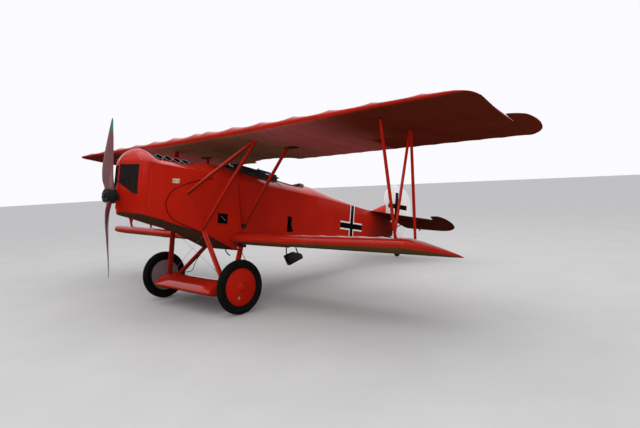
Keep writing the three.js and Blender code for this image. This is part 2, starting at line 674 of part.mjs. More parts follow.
function finAndRudder() {
  let rudder = plate(rudderOutline(), RUDDER.half, 6)
    .add(rod([0, RUDDER.y, RUDDER.low], [0, RUDDER.y, RUDDER.high], RUDDER.nose, 12));
  const rear = JOINTS_Y.sternpost;
  let fin = plate(polygon([[FIN.front, 300], [rear, 200], [rear, FIN.topZ - 8], [FIN.front, 318]]), FIN.half)
    .subtract(bodyBlank(JOINTS_Y.cockpitEnd, JOINTS_Y.sternpost + 5, SEAT)).subtract(placedTailplane(SEAT))
    .subtract(rod([-200, TAILPLANE.y, TAILPLANE.z], [200, TAILPLANE.y, TAILPLANE.z], ELEVATOR.nose + MOVING_GAP, 14))
    .subtract(box(-300, 300, TAILPLANE.y, TAILPLANE.y + 150, TAILPLANE.z - 4, TAILPLANE.z + 60));
  const size = { lug: 4, reach: 34, eye: 8, pin: 3, deep: 22, back: 20 };
  const [finLug, bodyLugs] = [RUDDER.lugs.slice(-1), RUDDER.lugs.slice(0, -1)];
  const placed = (z) => {
    const parts = hingeParts([0, 0, 0], size);
    return Object.fromEntries(Object.entries(parts)
      .map(([key, part]) => [key, upright(part).translate([0, RUDDER.y, z])]));
  };
  RUDDER.lugs.forEach((z) => {
    const parts = placed(z);
    rudder = rudder.subtract(parts.slot).add(parts.pin);
  });
  finLug.forEach((z) => { fin = fin.add(placed(z).lug); });
  addPiece('rudder', rudder, WHITE);
  addPiece('fin', largest(fin), RED);
  const post = airframe.children.find((mesh) => mesh.name === 'rear_body');
  let hull = solid(post.geometry);
  bodyLugs.forEach((z) => { hull = hull.add(placed(z).lug); });
  post.geometry = geometryOf(hull);
}

function tailBraces() {
  const brace = bar([30, 6020, -60], [640, 6010, 300], 30, 20, 8)
    .subtract(bodyBlank(JOINTS_Y.cockpitEnd, JOINTS_Y.sternpost, SEAT)).subtract(placedTailplane(SEAT))
    .intersect(box(0, 700, 5900, 6080, -200, 252));
  sides('tail_brace', brace, DARK_RED);
}

// Struts

function interplaneStruts() {
  const { x, low, high, front, rear, diagonalFoot } = INTERPLANE;
  const frame = sum([
    bar([x, front[0], low], [x, front[1], high], STRUT.chord, STRUT.thickness),
    bar([x, rear[0], low], [x, rear[1], high], STRUT.chord, STRUT.thickness),
    bar([x, ...diagonalFoot], [x, rear[1] - 8, high], STRUT.chord, STRUT.thickness),
  ]);
  const trimmed = frame.subtract(wingBlank(UPPER, UPPER_TIP, cutoutDepth, SEAT))
    .subtract(wingBlank(LOWER, LOWER_TIP, () => 0, 2 * SEAT));
  sides('interplane_strut', largest(trimmed), RED);
}

function largest(body) {
  return body.decompose().reduce((a, b) => (a.volume() > b.volume() ? a : b));
}

function cabaneStruts() {
  const wing = wingBlank(UPPER, UPPER_TIP, cutoutDepth, SEAT);
  const hull = bodyBlank(JOINTS_Y.nose, JOINTS_Y.cockpitEnd, SEAT);
  const front = sum(CABANE.feet.map((foot) => bar(foot, CABANE.front, CABANE.chord, CABANE.thickness)));
  sides('cabane_front', largest(front.subtract(wing).subtract(hull)), RED);
  const rear = bar(CABANE.rearFoot, CABANE.rear, CABANE.chord, CABANE.thickness);
  sides('cabane_rear', largest(rear.subtract(wing).subtract(hull)), RED);
}

// Undercarriage

// Both legs of a side stand on one foot plate, which sits on the fairing
function gearLegs() {
  const { chord, thickness, frontTop, rearTop, frontFoot, rearFoot, plateTop } = LEG;
  const foot = box(frontFoot[0] - thickness / 2, frontFoot[0] + thickness / 2, frontFoot[1] - chord / 2,
    rearFoot[1] + chord / 2, frontFoot[2], plateTop);
  return sum([bar(frontTop, frontFoot, chord, thickness), bar(rearTop, rearFoot, chord, thickness), foot])
    .subtract(bodyBlank(JOINTS_Y.nose, JOINTS_Y.cockpitEnd, SEAT))
    .subtract(wingBlank(LOWER, LOWER_TIP, () => 0, SEAT)).subtract(axleWing(SEAT));
}

function undercarriage() {
  const end = AXLE.halfTrack + 62;
  const bore = AXLE_WING.halfSpan + 20;
  sides('gear_legs', largest(gearLegs()), RED);
  const axleBore = rod([-bore, AXLE.y, AXLE.z], [bore, AXLE.y, AXLE.z], AXLE.radius + 0.4, 16);
  addPiece('axle_wing', axleWing().subtract(axleBore),
    RED);
  addPiece('axle', rod([-end, AXLE.y, AXLE.z], [end, AXLE.y, AXLE.z], AXLE.radius, 16), BLACK);
  sides('wheel', wheelDisc(), RED);
  sides('tyre', tyre(), RUBBER);
}

function axleWing(grow = 0) {
  const { halfSpan, top, under } = AXLE_WING;
  const ring = (x) => [
    ...top.map(([y, z], i) => (i === 0 ? [x, y - grow, z] : [x, y, z + grow])),
    ...under.map(([y, z], i) => [x, i === 0 ? y + grow : y, z - grow]),
  ];
  return loft([ring(-halfSpan), ring(halfSpan)]);
}

function wheelDisc() {
  const rim = WHEEL.radius - 2 * WHEEL.tyre + 6;
  const bore = AXLE.radius + 1;
  const profile = [
    [bore, -WHEEL.coverDepth], [70, -WHEEL.coverDepth + 4], [rim - 24, -30], [rim, -24], [rim, 24], [rim - 24, 30],
    [70, WHEEL.coverDepth - 4], [bore, WHEEL.coverDepth], [bore, -WHEEL.coverDepth],
  ];
  return turned(profile, AXLE.y, AXLE.z).translate([AXLE.halfTrack, 0, 0]);
}

function tyre() {
  const centre = WHEEL.radius - WHEEL.tyre;
  const inner = WHEEL.radius - 2 * WHEEL.tyre + 6 + SEAT;
  const arc = Array.from({ length: 11 }, (_, i) => {
    const turn = THREE.MathUtils.degToRad(-130 + 26 * i);
    return [Math.max(inner, centre + WHEEL.tyre * Math.cos(turn)), WHEEL.tyre * Math.sin(turn)];
  });
  const profile = [[inner, -30], ...arc, [inner, 30], [inner, -30]];
  return turned(profile, AXLE.y, AXLE.z).translate([AXLE.halfTrack, 0, 0]);
}

// Height of a point of the airframe above the ground, and the airframe height that gives it
function airframeHeight(y, ground) {
  const c = Math.cos(TAIL_DOWN);
  const s = Math.sin(TAIL_DOWN);
  return AXLE.z + (ground - WHEEL.radius + (y - AXLE.y) * s) / c;
}

function tailWheel() {
  const z = airframeHeight(TAIL_WHEEL.y, TAIL_WHEEL.radius);
  const pivotY = TAIL_WHEEL.y - TAIL_WHEEL.trail;
  const crown = z + TAIL_WHEEL.radius + 30;
  const spring = plate(polygon([[5980, -160], [5980, -90], [6080, -90], [pivotY + 45, crown + 48],
    [pivotY + 50, crown + 14], [pivotY - 40, crown + 14]]), 28)
    .subtract(bodyBlank(JOINTS_Y.cockpitEnd, JOINTS_Y.sternpost, SEAT));
  const socket = rod([0, pivotY, crown - 4], [0, pivotY, crown + 60], 10.9, 12);
  addPiece('tail_spring', largest(spring.subtract(socket)), BLACK);
  const cheek = plate(polygon([[pivotY - 26, crown + 8], [pivotY + 30, crown + 8], [TAIL_WHEEL.y + 22, z - 18],
    [TAIL_WHEEL.y - 22, z - 18]]), 4);
  const offset = TAIL_WHEEL.halfWidth + 10;
  const fork = sum([
    cheek.translate([offset, 0, 0]),
    cheek.translate([-offset, 0, 0]),
    box(-offset - 4, offset + 4, pivotY - 26, pivotY + 30, crown - 8, crown + 8),
    rod([0, pivotY, crown], [0, pivotY, crown + 44], 10, 12),
    rod([-offset, TAIL_WHEEL.y, z], [offset, TAIL_WHEEL.y, z], 7, 10),
  ]);
  addPiece('tail_fork', fork, BLACK);
  const r = TAIL_WHEEL.radius;
  const h = TAIL_WHEEL.halfWidth;
  const profile = [[8, -h], [r * 0.55, -h], [r * 0.8, -h], [r * 0.95, -h * 0.7], [r, 0], [r * 0.95, h * 0.7],
    [r * 0.8, h], [r * 0.55, h], [8, h], [8, -h]];
  addPiece('tail_wheel', turned(profile, TAIL_WHEEL.y, z, 28), RUBBER);
}

// Propeller

function bladeRing([radius, chord, thickness, pitch, ahead, forward], side) {
  const turn = THREE.MathUtils.degToRad(pitch);
  const across = [Math.cos(turn), Math.sin(turn)];
  const shape = [[-0.5, 0], [-0.3, 0.42], [0, 0.6], [0.3, 0.38], [0.5, 0], [0.3, -0.3], [0, -0.4], [-0.3, -0.3]];
  return shape.map(([u, w]) => {
    const along = u * chord - ahead;
    const up = w * thickness;
    return [side * (along * across[0] + up * across[1]), along * across[1] - up * across[0] - forward, side * radius];
  });
}

function propeller() {
  const blades = [1, -1].map((side) => loft(BLADE.map((row) => bladeRing(row, side))));
  const hub = rod([0, PROPELLER.hubFront, 0], [0, PROPELLER.hubBack, 0], PROPELLER.hubRadius, 20);
  const nut = rod([0, PROPELLER.hubFront - 34, 0], [0, 0, 0], 40, 12);
  const shaft = rod([0, 0, 0], [0, ENGINE.front - SEAT, 0], PROPELLER.shaft, 16);
  const whole = sum([...blades, hub, nut, shaft]).rotate([0, THREE.MathUtils.radToDeg(PROPELLER.turn), 0]);
  addPiece('propeller', whole, WOOD);
}

// Inside

const ENGINE = { front: 372, back: 1500, half: 200, top: 430 };

function engineAndBearers() {
  addPiece('engine_block', box(-ENGINE.half, ENGINE.half, ENGINE.front, ENGINE.back, SEAT, ENGINE.top), STEEL);
  const rails = [-1, 1].map((side) => box(side * 180 - 25, side * 180 + 25, 400, 1600, -60, 0));
  const beams = [420, 1560].map((y) => crossBeam(y, 40, -60, -10));
  addPiece('engine_bearers', sum([...rails, ...beams]), STEEL);
}

// A bar across the inside of the body from one side wall to the other
function crossBeam(y, deep, low, high) {
  const width = Math.min(value(HALF_WIDTH, y), value(HALF_WIDTH, y + deep)) - SKIN - SEAT;
  return box(-width, width, y, y + deep, low, high);
}

function cockpitFittings() {
  addPiece('instrument_panel', crossBeam(2610, 12, 180, 400), WOOD);
  const seatY = 3080;
  const bucket = sum([
    box(-200, 200, seatY - 190, seatY + 190, -112, -96),
    box(-200, 200, seatY + 174, seatY + 190, -112, 300),
    box(-200, -186, seatY - 150, seatY + 190, -112, 30),
    box(186, 200, seatY - 150, seatY + 190, -112, 30),
  ]);
  addPiece('seat', bucket, LEATHER);
  const beams = [seatY - 130, seatY + 130].map((y) => crossBeam(y - 14, 28, -140, -112 - SEAT));
  addPiece('seat_frame', sum([...beams, box(-20, 20, seatY - 130, seatY + 130, -140, -116)]), STEEL);
  const floor = value(BELLY, 2700) + SKIN + 8 + SEAT;
  const stick = sum([
    rod([0, 2760, floor], [0, 2800, 120], 14, 10),
    rod([-70, 2800, 118], [70, 2800, 118], 12, 10),
    box(-60, 60, 2690, 2795, floor - 8, floor + 12),
  ]).subtract(wingBlank(LOWER, LOWER_TIP, () => 0, SEAT));
  addPiece('control_column', largest(stick), STEEL);
}

function guns() {
  const { reach: x, z, muzzle, jacket, receiver, end } = GUN;
  const gun = sum([
    rod([x, jacket, z], [x, receiver + 10, z], 34, 12),
    rod([x, muzzle, z], [x, jacket + 10, z], 18, 10),
    box(x - 28, x + 28, receiver, end, z - 62, z + 34),
    box(x - 14, x + 14, jacket + 80, jacket + 110, z - 110, z - 20),
    box(x - 14, x + 14, end - 160, end - 130, z - 130, z - 50),
  ]).subtract(bodyBlank(JOINTS_Y.nose, JOINTS_Y.cockpitEnd, 2 * SEAT));
  sides('gun', largest(gun), BLACK);
}

function step() {
  const x = 412;
  const tread = plate(polygon([[2686, -636], [2870, -560], [3025, -578], [3078, -656], [2790, -782]]), 48, 6);
  const rods = sum([
    rod([x, 2750, -455], [x + 24, 2750, -640], 10, 8),
    rod([x, 2935, -410], [x + 24, 3015, -600], 10, 8),
    tread.translate([x + 36, 0, 0]),
  ]).subtract(bodyBlank(JOINTS_Y.nose, JOINTS_Y.sternpost, SEAT))
    .subtract(wingBlank(LOWER, LOWER_TIP, () => 0, SEAT));
  addPiece('boarding_step', largest(rods), BLACK);
}

noseCowl();
radiatorCores();
engineHood();
body();
upperWing();
lowerWing();
tailSurfaces();
finAndRudder();
tailBraces();
interplaneStruts();
cabaneStruts();
undercarriage();
tailWheel();
propeller();
engineAndBearers();
cockpitFittings();
guns();
step();

// Tips the airframe tail down onto its wheels, then puts the origin in the middle of its footprint
const group = new THREE.Group();
airframe.rotation.x = -TAIL_DOWN;
const axlePlace = new THREE.Vector3(0, AXLE.y, AXLE.z).applyEuler(airframe.rotation);
airframe.position.set(0, -axlePlace.y, WHEEL.radius - axlePlace.z);
group.add(airframe);
group.updateMatrixWorld(true);
const reach = new THREE.Box3().setFromObject(group, true);
airframe.position.y -= (reach.min.y + reach.max.y) / 2;
group.updateMatrixWorld(true);

export default group;
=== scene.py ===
# Looks for the single-seat biplane: smooth skins, fabric over ribs, paint, wood and small fittings.
# Lengths are in metres. Points are given in the airframe's own level frame, with the propeller's plane
# at y = 0 and the thrust line at z = 0, and place() carries them to the parked, tail-down machine.
from math import atan2, ceil, copysign, cos, hypot, pi, radians, sin, sqrt

import bmesh
import bpy
import numpy as np
from mathutils import Matrix, Vector


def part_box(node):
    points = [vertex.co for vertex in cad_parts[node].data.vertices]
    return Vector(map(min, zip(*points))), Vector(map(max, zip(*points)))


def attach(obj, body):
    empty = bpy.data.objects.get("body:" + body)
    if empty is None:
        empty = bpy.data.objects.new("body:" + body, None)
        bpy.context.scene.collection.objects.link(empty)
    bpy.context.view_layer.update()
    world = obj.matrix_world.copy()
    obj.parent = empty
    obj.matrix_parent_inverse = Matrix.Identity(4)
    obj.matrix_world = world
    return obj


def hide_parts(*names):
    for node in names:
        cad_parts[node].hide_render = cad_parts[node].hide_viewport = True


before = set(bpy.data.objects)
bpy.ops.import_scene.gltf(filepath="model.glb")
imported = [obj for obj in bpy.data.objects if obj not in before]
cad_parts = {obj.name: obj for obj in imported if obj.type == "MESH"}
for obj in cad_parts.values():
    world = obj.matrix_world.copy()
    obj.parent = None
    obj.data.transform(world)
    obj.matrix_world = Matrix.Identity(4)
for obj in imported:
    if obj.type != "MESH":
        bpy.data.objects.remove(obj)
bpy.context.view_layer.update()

# Where the airframe stands
TILT = radians(10.14)
COS, SIN = cos(TILT), sin(TILT)
AXLE = (1.429, -1.063)
axle_low, axle_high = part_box("axle")
axle_place = (axle_low + axle_high) / 2
SHIFT_Y = axle_place.y - (AXLE[0] * COS + AXLE[1] * SIN)
SHIFT_Z = axle_place.z - (AXLE[1] * COS - AXLE[0] * SIN)

# Camera, measured from the ground under the axle
CAMERA_OFFSET = (6.356, -4.109, 1.697)
CAMERA_YAW, CAMERA_PITCH, CAMERA_ROLL = 43.18, -3.52, -2.91
CAMERA_LENS = 28.43

# Wings. Section's columns: share of the chord, depth above and below the line from nose to tail
WING_SECTION = [(0, 0, 0), (0.012, 0.034, 0.026), (0.05, 0.062, 0.038), (0.14, 0.084, 0.041),
                (0.30, 0.090, 0.036), (0.50, 0.074, 0.019), (0.72, 0.043, 0.006), (0.90, 0.014, 0.002),
                (1, 0.002, 0.002)]
# Columns: distance out, leading edge back, trailing edge ahead, share of thickness
UPPER_ROWS = [(0, 0, 0, 1), (0.9, 0, 0, 1), (4.02, 0, 0, 0.55), (4.12, 0.006, 0, 0.44),
              (4.19, 0.028, 0, 0.27), (4.226, 0.048, 0, 0.16), (4.24, 0.064, 0.939, 0.13),
              (4.262, 0.10, 1.15, 0.10), (4.28, 0.16, 1.33, 0.06)]
LOWER_ROWS = [(0, 0, 0, 1.15), (3.3, 0, 0, 1), (3.365, 0.03, 0, 0.92), (3.415, 0.12, 0, 0.80),
              (3.455, 0.30, 0, 0.62), (3.487, 0.56, 0.01, 0.42), (3.51, 0.86, 0.04, 0.20)]
UPPER = {"rows": UPPER_ROWS, "lead": 1.179, "chord": 1.600, "z": 0.997, "rise": 0.0, "drop": 0.057,
         "twist": 0.0, "straight": 4.02, "lift_rate": 0.075, "lift_most": 0.028, "cutout": 0.17,
         "bay_sag": 0.026}
LOWER = {"rows": LOWER_ROWS, "lead": 1.625, "chord": 1.165, "z": -0.436, "rise": 0.0175, "drop": 0.095,
         "twist": 0.045, "straight": 3.3, "lift_rate": 0.0, "lift_most": 0.0, "cutout": 0.0, "bay_sag": 0.0}
CUTOUT_HALF_WIDTH = 0.52
RIB_PITCH, SAG, SCALLOP = 0.3, 0.006, 0.018
BAY, BAY_FIRST = 0.6, 0.15
AILERON = {"inner": 2.4, "outer": 4.226, "y": 2.27, "z": 0.99, "slope": 0.06, "gap": 0.005}
# Columns: distance out, leading edge, trailing edge, half thickness
HORN_ROWS = [(4.24, 2.018, 2.783, 0.014), (4.29, 2.025, 2.745, 0.014), (4.345, 2.042, 2.69, 0.012),
             (4.39, 2.068, 2.62, 0.010), (4.425, 2.10, 2.535, 0.008), (4.445, 2.16, 2.45, 0.006),
             (4.457, 2.24, 2.38, 0.004)]

# Body tables along y: half width, underside, crease, ridge and fullness of the top's curve
HALF_WIDTH = [(0.3, 0.402), (0.5, 0.418), (3.0, 0.42), (3.7, 0.372), (4.555, 0.252), (5.5, 0.112),
              (6.23, 0.02)]
BELLY = [(0.3, -0.214), (0.49, -0.245), (0.78, -0.305), (1.137, -0.365), (1.737, -0.59), (1.8, -0.592),
         (1.835, -0.5), (2.8, -0.501), (3.15, -0.385), (6.23, -0.1)]
CREASE = [(0.3, 0.464), (0.855, 0.464), (5.136, 0.347), (6.23, 0.214)]
RIDGE = [(0.3, 0.674), (0.38, 0.655), (0.461, 0.604), (1.137, 0.592), (1.2, 0.62), (1.3, 0.66), (1.45, 0.665),
         (1.75, 0.66), (1.95, 0.643), (2.15, 0.62), (2.35, 0.604), (2.56, 0.598), (3.42, 0.606),
         (3.503, 0.606), (4.158, 0.507), (5.136, 0.368), (6.23, 0.222)]
DOME_BACK = [(0.3, 0.674), (0.34, 0.668), (0.38, 0.652), (0.42, 0.628), (0.461, 0.606), (0.6, 0.601)]
FULLNESS = [(0.3, 1.6), (0.461, 1.25), (1.137, 1.3), (2.56, 1.5), (3.503, 1.5), (5.136, 1.6), (6.23, 2.0)]
BODY_TABLES = (HALF_WIDTH, BELLY, CREASE, RIDGE, FULLNESS)
SKIN = 0.014
# Pieces of the top: where each starts and ends
TOPS = {"engine_hood": (0.3003, 1.137), "gun_deck": (1.1373, 2.56), "cockpit_coaming": (2.5603, 3.4197)}
REAR_BODY = (3.42, 6.23)
COCKPIT = {"y": 2.985, "half_length": 0.35, "half_width": 0.262, "roll": 0.024, "thin_roll": 0.008}

# Nose. Columns of the plan: half width, place back. Columns of the dome: place back, half width, top
NOSE_PLAN = [(0, 0.072), (0.33, 0.182), (0.378, 0.222), (0.4, 0.27), (0.402, 0.3)]
NOSE_DOME = [(0.074, 0.020, 0.470), (0.11, 0.115, 0.545), (0.15, 0.235, 0.592), (0.182, 0.33, 0.622),
             (0.222, 0.378, 0.65), (0.27, 0.40, 0.668), (0.2999, 0.402, 0.674)]
NOSE_BOTTOM = [(0.03, -0.06), (0.058, -0.126), (0.106, -0.172), (0.301, -0.214)]
NOSE_PLACES = [0.0745, 0.08, 0.09, 0.1, 0.11, 0.12, 0.13, 0.14, 0.15, 0.16, 0.17, 0.182, 0.19, 0.2, 0.21,
               0.222, 0.232, 0.245, 0.258, 0.27, 0.285, 0.3]
NOSE_CREASE = 0.463
NOSE_FULLNESS = 1.6
RADIATOR = {"inner": 0.012, "outer": 0.33, "top": 0.425, "inner_bottom": 0.19, "outer_bottom": 0.048,
            "flat": 0.072, "depth": 0.055, "recess": 0.016, "tubes": 26, "fin_pitch": 0.0122}
PORTS = {"first": 0.525, "pitch": 0.134, "count": 4, "x": 0.17, "radius": 0.056}

# Tail. Columns of the elevator: distance out, leading edge, trailing edge from the hinge
TAILPLANE = {"y": 6.1, "z": 0.243, "tilt": -7.0, "droop": -19.0}
TAILPLANE_ROWS = [(0, -0.96), (0.12, -0.915), (0.56, -0.486), (1.0, -0.078), (1.062, -0.04)]
ELEVATOR_ROWS = [(0.075, -0.01, 0.04), (0.15, -0.012, 0.145), (0.23, -0.012, 0.31), (0.3, -0.012, 0.354),
                 (0.7, -0.012, 0.392), (0.95, -0.012, 0.416), (1.084, -0.012, 0.425)]
ELEVATOR_TIP = [(1.086, -0.15, 0.425), (1.13, -0.157, 0.424), (1.234, -0.16, 0.408), (1.324, -0.117, 0.374),
                (1.395, -0.037, 0.315), (1.439, 0.064, 0.245), (1.452, 0.14, 0.18)]
MAST_OUT = (0.815, 0.825)
LOW_MAST = [(-0.016, -0.23), (0.0, -0.236), (0.016, -0.23), (0.034, 0.0), (-0.010, 0.0)]
HIGH_MAST = [(-0.009, 0.001), (0.033, 0.001), (0.024, 0.105), (0.013, 0.112), (0.002, 0.105)]
RUDDER = {"y": 6.256, "low": -0.108, "half": 0.013}
# Curves round the rudder's edge: two ends and the two points between that pull each curve
RUDDER_CURVES = [((5.892, 0.566), (5.83, 0.76), (5.98, 1.018), (6.33, 1.02), 14),
                 ((6.33, 1.02), (6.65, 1.022), (6.925, 0.8), (6.928, 0.46), 14),
                 ((6.928, 0.46), (6.93, 0.18), (6.76, -0.095), (6.54, -0.112), 12)]
FIN = [(5.33, 0.30), (5.6, 0.262), (6.228, 0.205), (6.228, 0.652), (5.78, 0.502), (5.4, 0.345)]

# Struts. Columns: places back and up of both ends, chord, thickness, share of size at the ends
STRUT_X = 3.104
STRUTS = [(1.905, -0.40, 1.436, 1.01, 0.046, 0.032, 0.8), (2.300, -0.40, 2.048, 1.01, 0.046, 0.032, 0.8),
          (1.856, -0.25, 2.040, 1.01, 0.040, 0.030, 0.85)]
STRUT_FITTINGS = [(1.452, 0.966), (2.06, 0.972), (1.874, -0.302), (2.288, -0.326)]
CABANE_SIZE = (0.056, 0.042, 0.85)
CABANE_FRONT_TOP, CABANE_REAR_TOP = (1.0, 1.485, 0.95), (1.0, 2.070, 0.95)
CABANE_FRONT_FEET = [(0.414, 0.842, 0.131), (0.414, 1.137, -0.324)]
CABANE_REAR_FOOT = (0.414, 1.835, -0.227)
LEG_SIZE = (0.084, 0.040, 0.92)
LEGS = [((0.392, 1.165, -0.33), (0.70, 1.362, -1.05)), ((0.40, 1.845, -0.49), (0.70, 1.515, -1.05))]

# Undercarriage
WHEEL = {"radius": 0.366, "tyre": 0.052, "rim": 0.254, "half_track": 0.969}
# Outer half of a wheel cover: radius and place out, from the axle's bore to the rim
WHEEL_COVER = [(0.0252, 0.066), (0.03, 0.068), (0.048, 0.066), (0.060, 0.050), (0.12, 0.044), (0.2, 0.0325),
               (0.235, 0.027), (0.248, 0.024), (0.254, 0.0205)]
LINEN_RADIUS = 0.225
AXLE_WING_HALF_SPAN = 0.704
# Fairing of the axle: places back and up along its underside from the tail, then along its upper side
AXLE_WING = [(1.755, -1.079), (1.6, -1.135), (1.45, -1.185), (1.32, -1.215), (1.22, -1.222), (1.155, -1.214),
             (1.13, -1.2), (1.125, -1.174), (1.15, -1.13), (1.19, -1.092), (1.24, -1.061), (1.312, -1.025),
             (1.4, -1.012), (1.5, -1.018), (1.62, -1.04), (1.755, -1.075)]
BRAKE_LINE = [(0.48, 1.80, -0.62), (0.56, 1.80, -0.70), (0.62, 1.79, -0.77), (0.62, 1.741, -0.868),
              (0.62, 1.719, -0.943), (0.63, 1.675, -0.985), (0.66, 1.582, -0.999), (0.70, 1.52, -1.02)]
DRAIN_PIPE = [(0.18, 1.72, -0.57), (0.18, 1.74, -0.62), (0.18, 1.78, -0.66), (0.18, 1.82, -0.675)]

# Propeller. Columns: radius, chord, thickness, pitch in degrees, towards the leading edge, forward
PROPELLER_TURN = radians(-9.2)
BLADE = [(0, 0.12, 0.090, 50, 0, 0), (0.11, 0.130, 0.056, 45, 0, 0.014), (0.2, 0.145, 0.042, 42, 0.006, 0.03),
         (0.33, 0.150, 0.035, 39, 0.01, 0.034), (0.6, 0.127, 0.028, 30, 0.012, 0.02),
         (0.82, 0.086, 0.017, 24, 0.012, 0.006), (0.93, 0.056, 0.011, 21, 0.008, 0.002),
         (1.01, 0.034, 0.008, 20, 0.002, 0), (1.048, 0.014, 0.005, 19, 0, 0)]
GREEN_TIP_RADIUS = 0.87
# Turned parts of the hub: radius and place back
BOSS = [(0.0, -0.066), (0.082, -0.066), (0.09, -0.058), (0.09, 0.034), (0.082, 0.042), (0.0, 0.042)]
FRONT_PLATE = [(0.0, -0.074), (0.086, -0.074), (0.088, -0.072), (0.088, -0.0665), (0.0, -0.0665)]
REAR_PLATE = [(0.0, 0.0425), (0.09, 0.0425), (0.09, 0.052), (0.0, 0.052)]
SHAFT = [(0.0, 0.0525), (0.034, 0.0525), (0.034, 0.37), (0.0, 0.37)]
NUT = [(0.0, -0.096), (0.024, -0.096), (0.03, -0.092), (0.037, -0.084), (0.038, -0.0745), (0.0, -0.0745)]
BOLT = [(0.0, -0.088), (0.007, -0.087), (0.008, -0.0745), (0.0, -0.0745)]
BOLT_CIRCLE = 0.064

# Guns
GUN = {"reach": 0.125, "start": 1.80, "z": 0.668, "jacket": 0.034, "jacket_length": 0.41, "slope": -0.055,
       "level_at": 2.2, "hole_rows": 8, "hole_pitch": 0.056, "hole": (0.006, 0.026, 0.006)}
# Blocks of a gun: places out, back and up from the middle of the jacket's back end, and size
GUN_BLOCKS = [(0, 0.225, -0.014, (0.056, 0.45, 0.096)), (0, 0.18, 0.040, (0.036, 0.28, 0.014)),
              (0, 0.07, 0.052, (0.010, 0.012, 0.03)), (0.034, 0.11, 0.005, (0.014, 0.12, 0.04)),
              (0, -0.33, 0.042, (0.006, 0.03, 0.02)), (0, 0.02, -0.078, (0.044, 0.90, 0.13))]

# Fittings on the sides, as places back and up
SIDE_X = 0.4186
HATCH = {"y": (1.367, 1.538), "z": (-0.221, -0.079)}
FOOT_SLOT = [(2.716, -0.018), (2.725, 0.002), (2.792, 0.005), (2.814, -0.034), (2.807, -0.099),
             (2.822, -0.163), (2.861, -0.234), (2.783, -0.242), (2.770, -0.151), (2.752, -0.088),
             (2.752, -0.047), (2.721, -0.047)]
SIDE_CURVE = [(1.236, 0.391), (1.122, 0.367), (1.021, 0.338), (0.875, 0.281), (0.753, 0.226),
              (0.659, 0.168), (0.592, 0.100), (0.556, 0.023), (0.544, -0.044), (0.580, -0.144),
              (0.654, -0.222), (0.747, -0.264), (0.872, -0.303), (1.000, -0.337), (1.115, -0.367)]
LATCH = [(0.613, 0.242), (0.713, 0.251), (0.713, 0.311), (0.61, 0.301)]
LATCH_SCREWS = [(0.640, 0.273), (0.686, 0.279)]
LOUVRES = (0.958, 0.978, 1.010, 1.054)
STEP = [(2.686, -0.636), (2.74, -0.612), (2.8, -0.588), (2.87, -0.56), (2.95, -0.572), (3.025, -0.578),
        (3.06, -0.61), (3.078, -0.656), (2.98, -0.70), (2.88, -0.745), (2.79, -0.782), (2.745, -0.72)]
STEP_X = 0.448
STEP_STEMS = [[(0.412, 2.75, -0.46), (0.414, 2.747, -0.55), (0.43, 2.75, -0.63)],
              [(0.412, 2.935, -0.42), (0.414, 2.965, -0.51), (0.43, 3.01, -0.60)]]

# Crosses as places back and up: centre, reach either way, half widths of the border and the bars
BODY_CROSS = {"centre": (4.538, -0.019), "reach": (0.388, 0.396), "border": 0.076, "core": 0.05}
# Level and upright bar over the rudder and the fin: centre, half sizes
RUDDER_BARS = [((6.375, 0.555), (0.355, 0.052)), ((6.325, 0.545), (0.055, 0.31))]
FIN_WHITE_FROM = 5.945

# Linear colours
RED_PAINT = (0.40, 0.012, 0.0045)
RED_FABRIC = (0.38, 0.013, 0.006)
FIN_RED = (0.66, 0.048, 0.034)
RIVET_RED = (0.48, 0.07, 0.05)
# Painted shade for faces turned down
UNDERSIDE_SHADE = (0.10, 0.016, 0.008)
# Painted shade under the nose and belly
BELLY_SHADE = (0.070, 0.032, 0.018)
# Painted shade under the lower wing, olive from a painted reflection of the ground
OLIVE_SHADE_AND_REFLECTION = (0.105, 0.062, 0.024)
# Painted reflections on the upper wing's underside: brown over the body, redder further out
BROWN_REFLECTION = (0.18, 0.10, 0.055)
RED_SHEEN = (0.32, 0.085, 0.075)
MAROON = (0.05, 0.009, 0.005)
WHITE = (0.70, 0.66, 0.65)
PALE = (0.86, 0.82, 0.81)
# Painted shade on the rear body under the tailplane
TAIL_SHADE = (0.045, 0.010, 0.006)
LINEN = (0.19, 0.135, 0.14)
BLACK = (0.003, 0.003, 0.0035)
GREEN = (0.045, 0.15, 0.10)
FLOOR_GREY = (0.50, 0.50, 0.49)

# Carried-over solids by finish
PLAIN_NODES = {
    "red_metal": ["engine_panel_left", "engine_panel_right"],
    "red_body_fabric": ["cockpit_wall_left", "cockpit_wall_right"],
    "belly_paint": ["belly_front", "belly_rear"],
    "maroon": ["tail_brace_left", "tail_brace_right"],
    "black_metal": ["axle", "tail_spring", "tail_fork"],
    "tyre_rubber": ["tail_wheel"],
    "steel": ["engine_block", "engine_bearers", "seat_frame", "control_column"],
    "laminated_wood": ["instrument_panel"],
    "leather": ["seat"],
}
SHARP_NODES = ("engine_block", "engine_bearers")


# Numbers along tables

def column_of(table, column=0):
    return [row[column] for row in table]


def straight(table, at, column=1):
    """Straight-line value of a column of a table at a place given by its first column."""
    return np.interp(at, column_of(table), column_of(table, column))


def curved(table, at, column=1):
    """Value of a column along a smooth curve through a table's rows."""
    xs, ys = (np.array(column_of(table, i), float) for i in (0, column))
    steps = np.diff(ys) / np.diff(xs)
    slopes = np.concatenate([[steps[0]], (steps[:-1] + steps[1:]) / 2, [steps[-1]]])
    slopes[1:-1] = np.where(steps[:-1] * steps[1:] <= 0, 0, slopes[1:-1])
    at = np.clip(np.asarray(at, float), xs[0], xs[-1])
    i = np.clip(np.searchsorted(xs, at, side="right") - 1, 0, len(xs) - 2)
    span = xs[i + 1] - xs[i]
    t = (at - xs[i]) / span
    return ((2 * t ** 3 - 3 * t ** 2 + 1) * ys[i] + (t ** 3 - 2 * t ** 2 + t) * span * slopes[i]
            + (3 * t ** 2 - 2 * t ** 3) * ys[i + 1] + (t ** 3 - t ** 2) * span * slopes[i + 1])


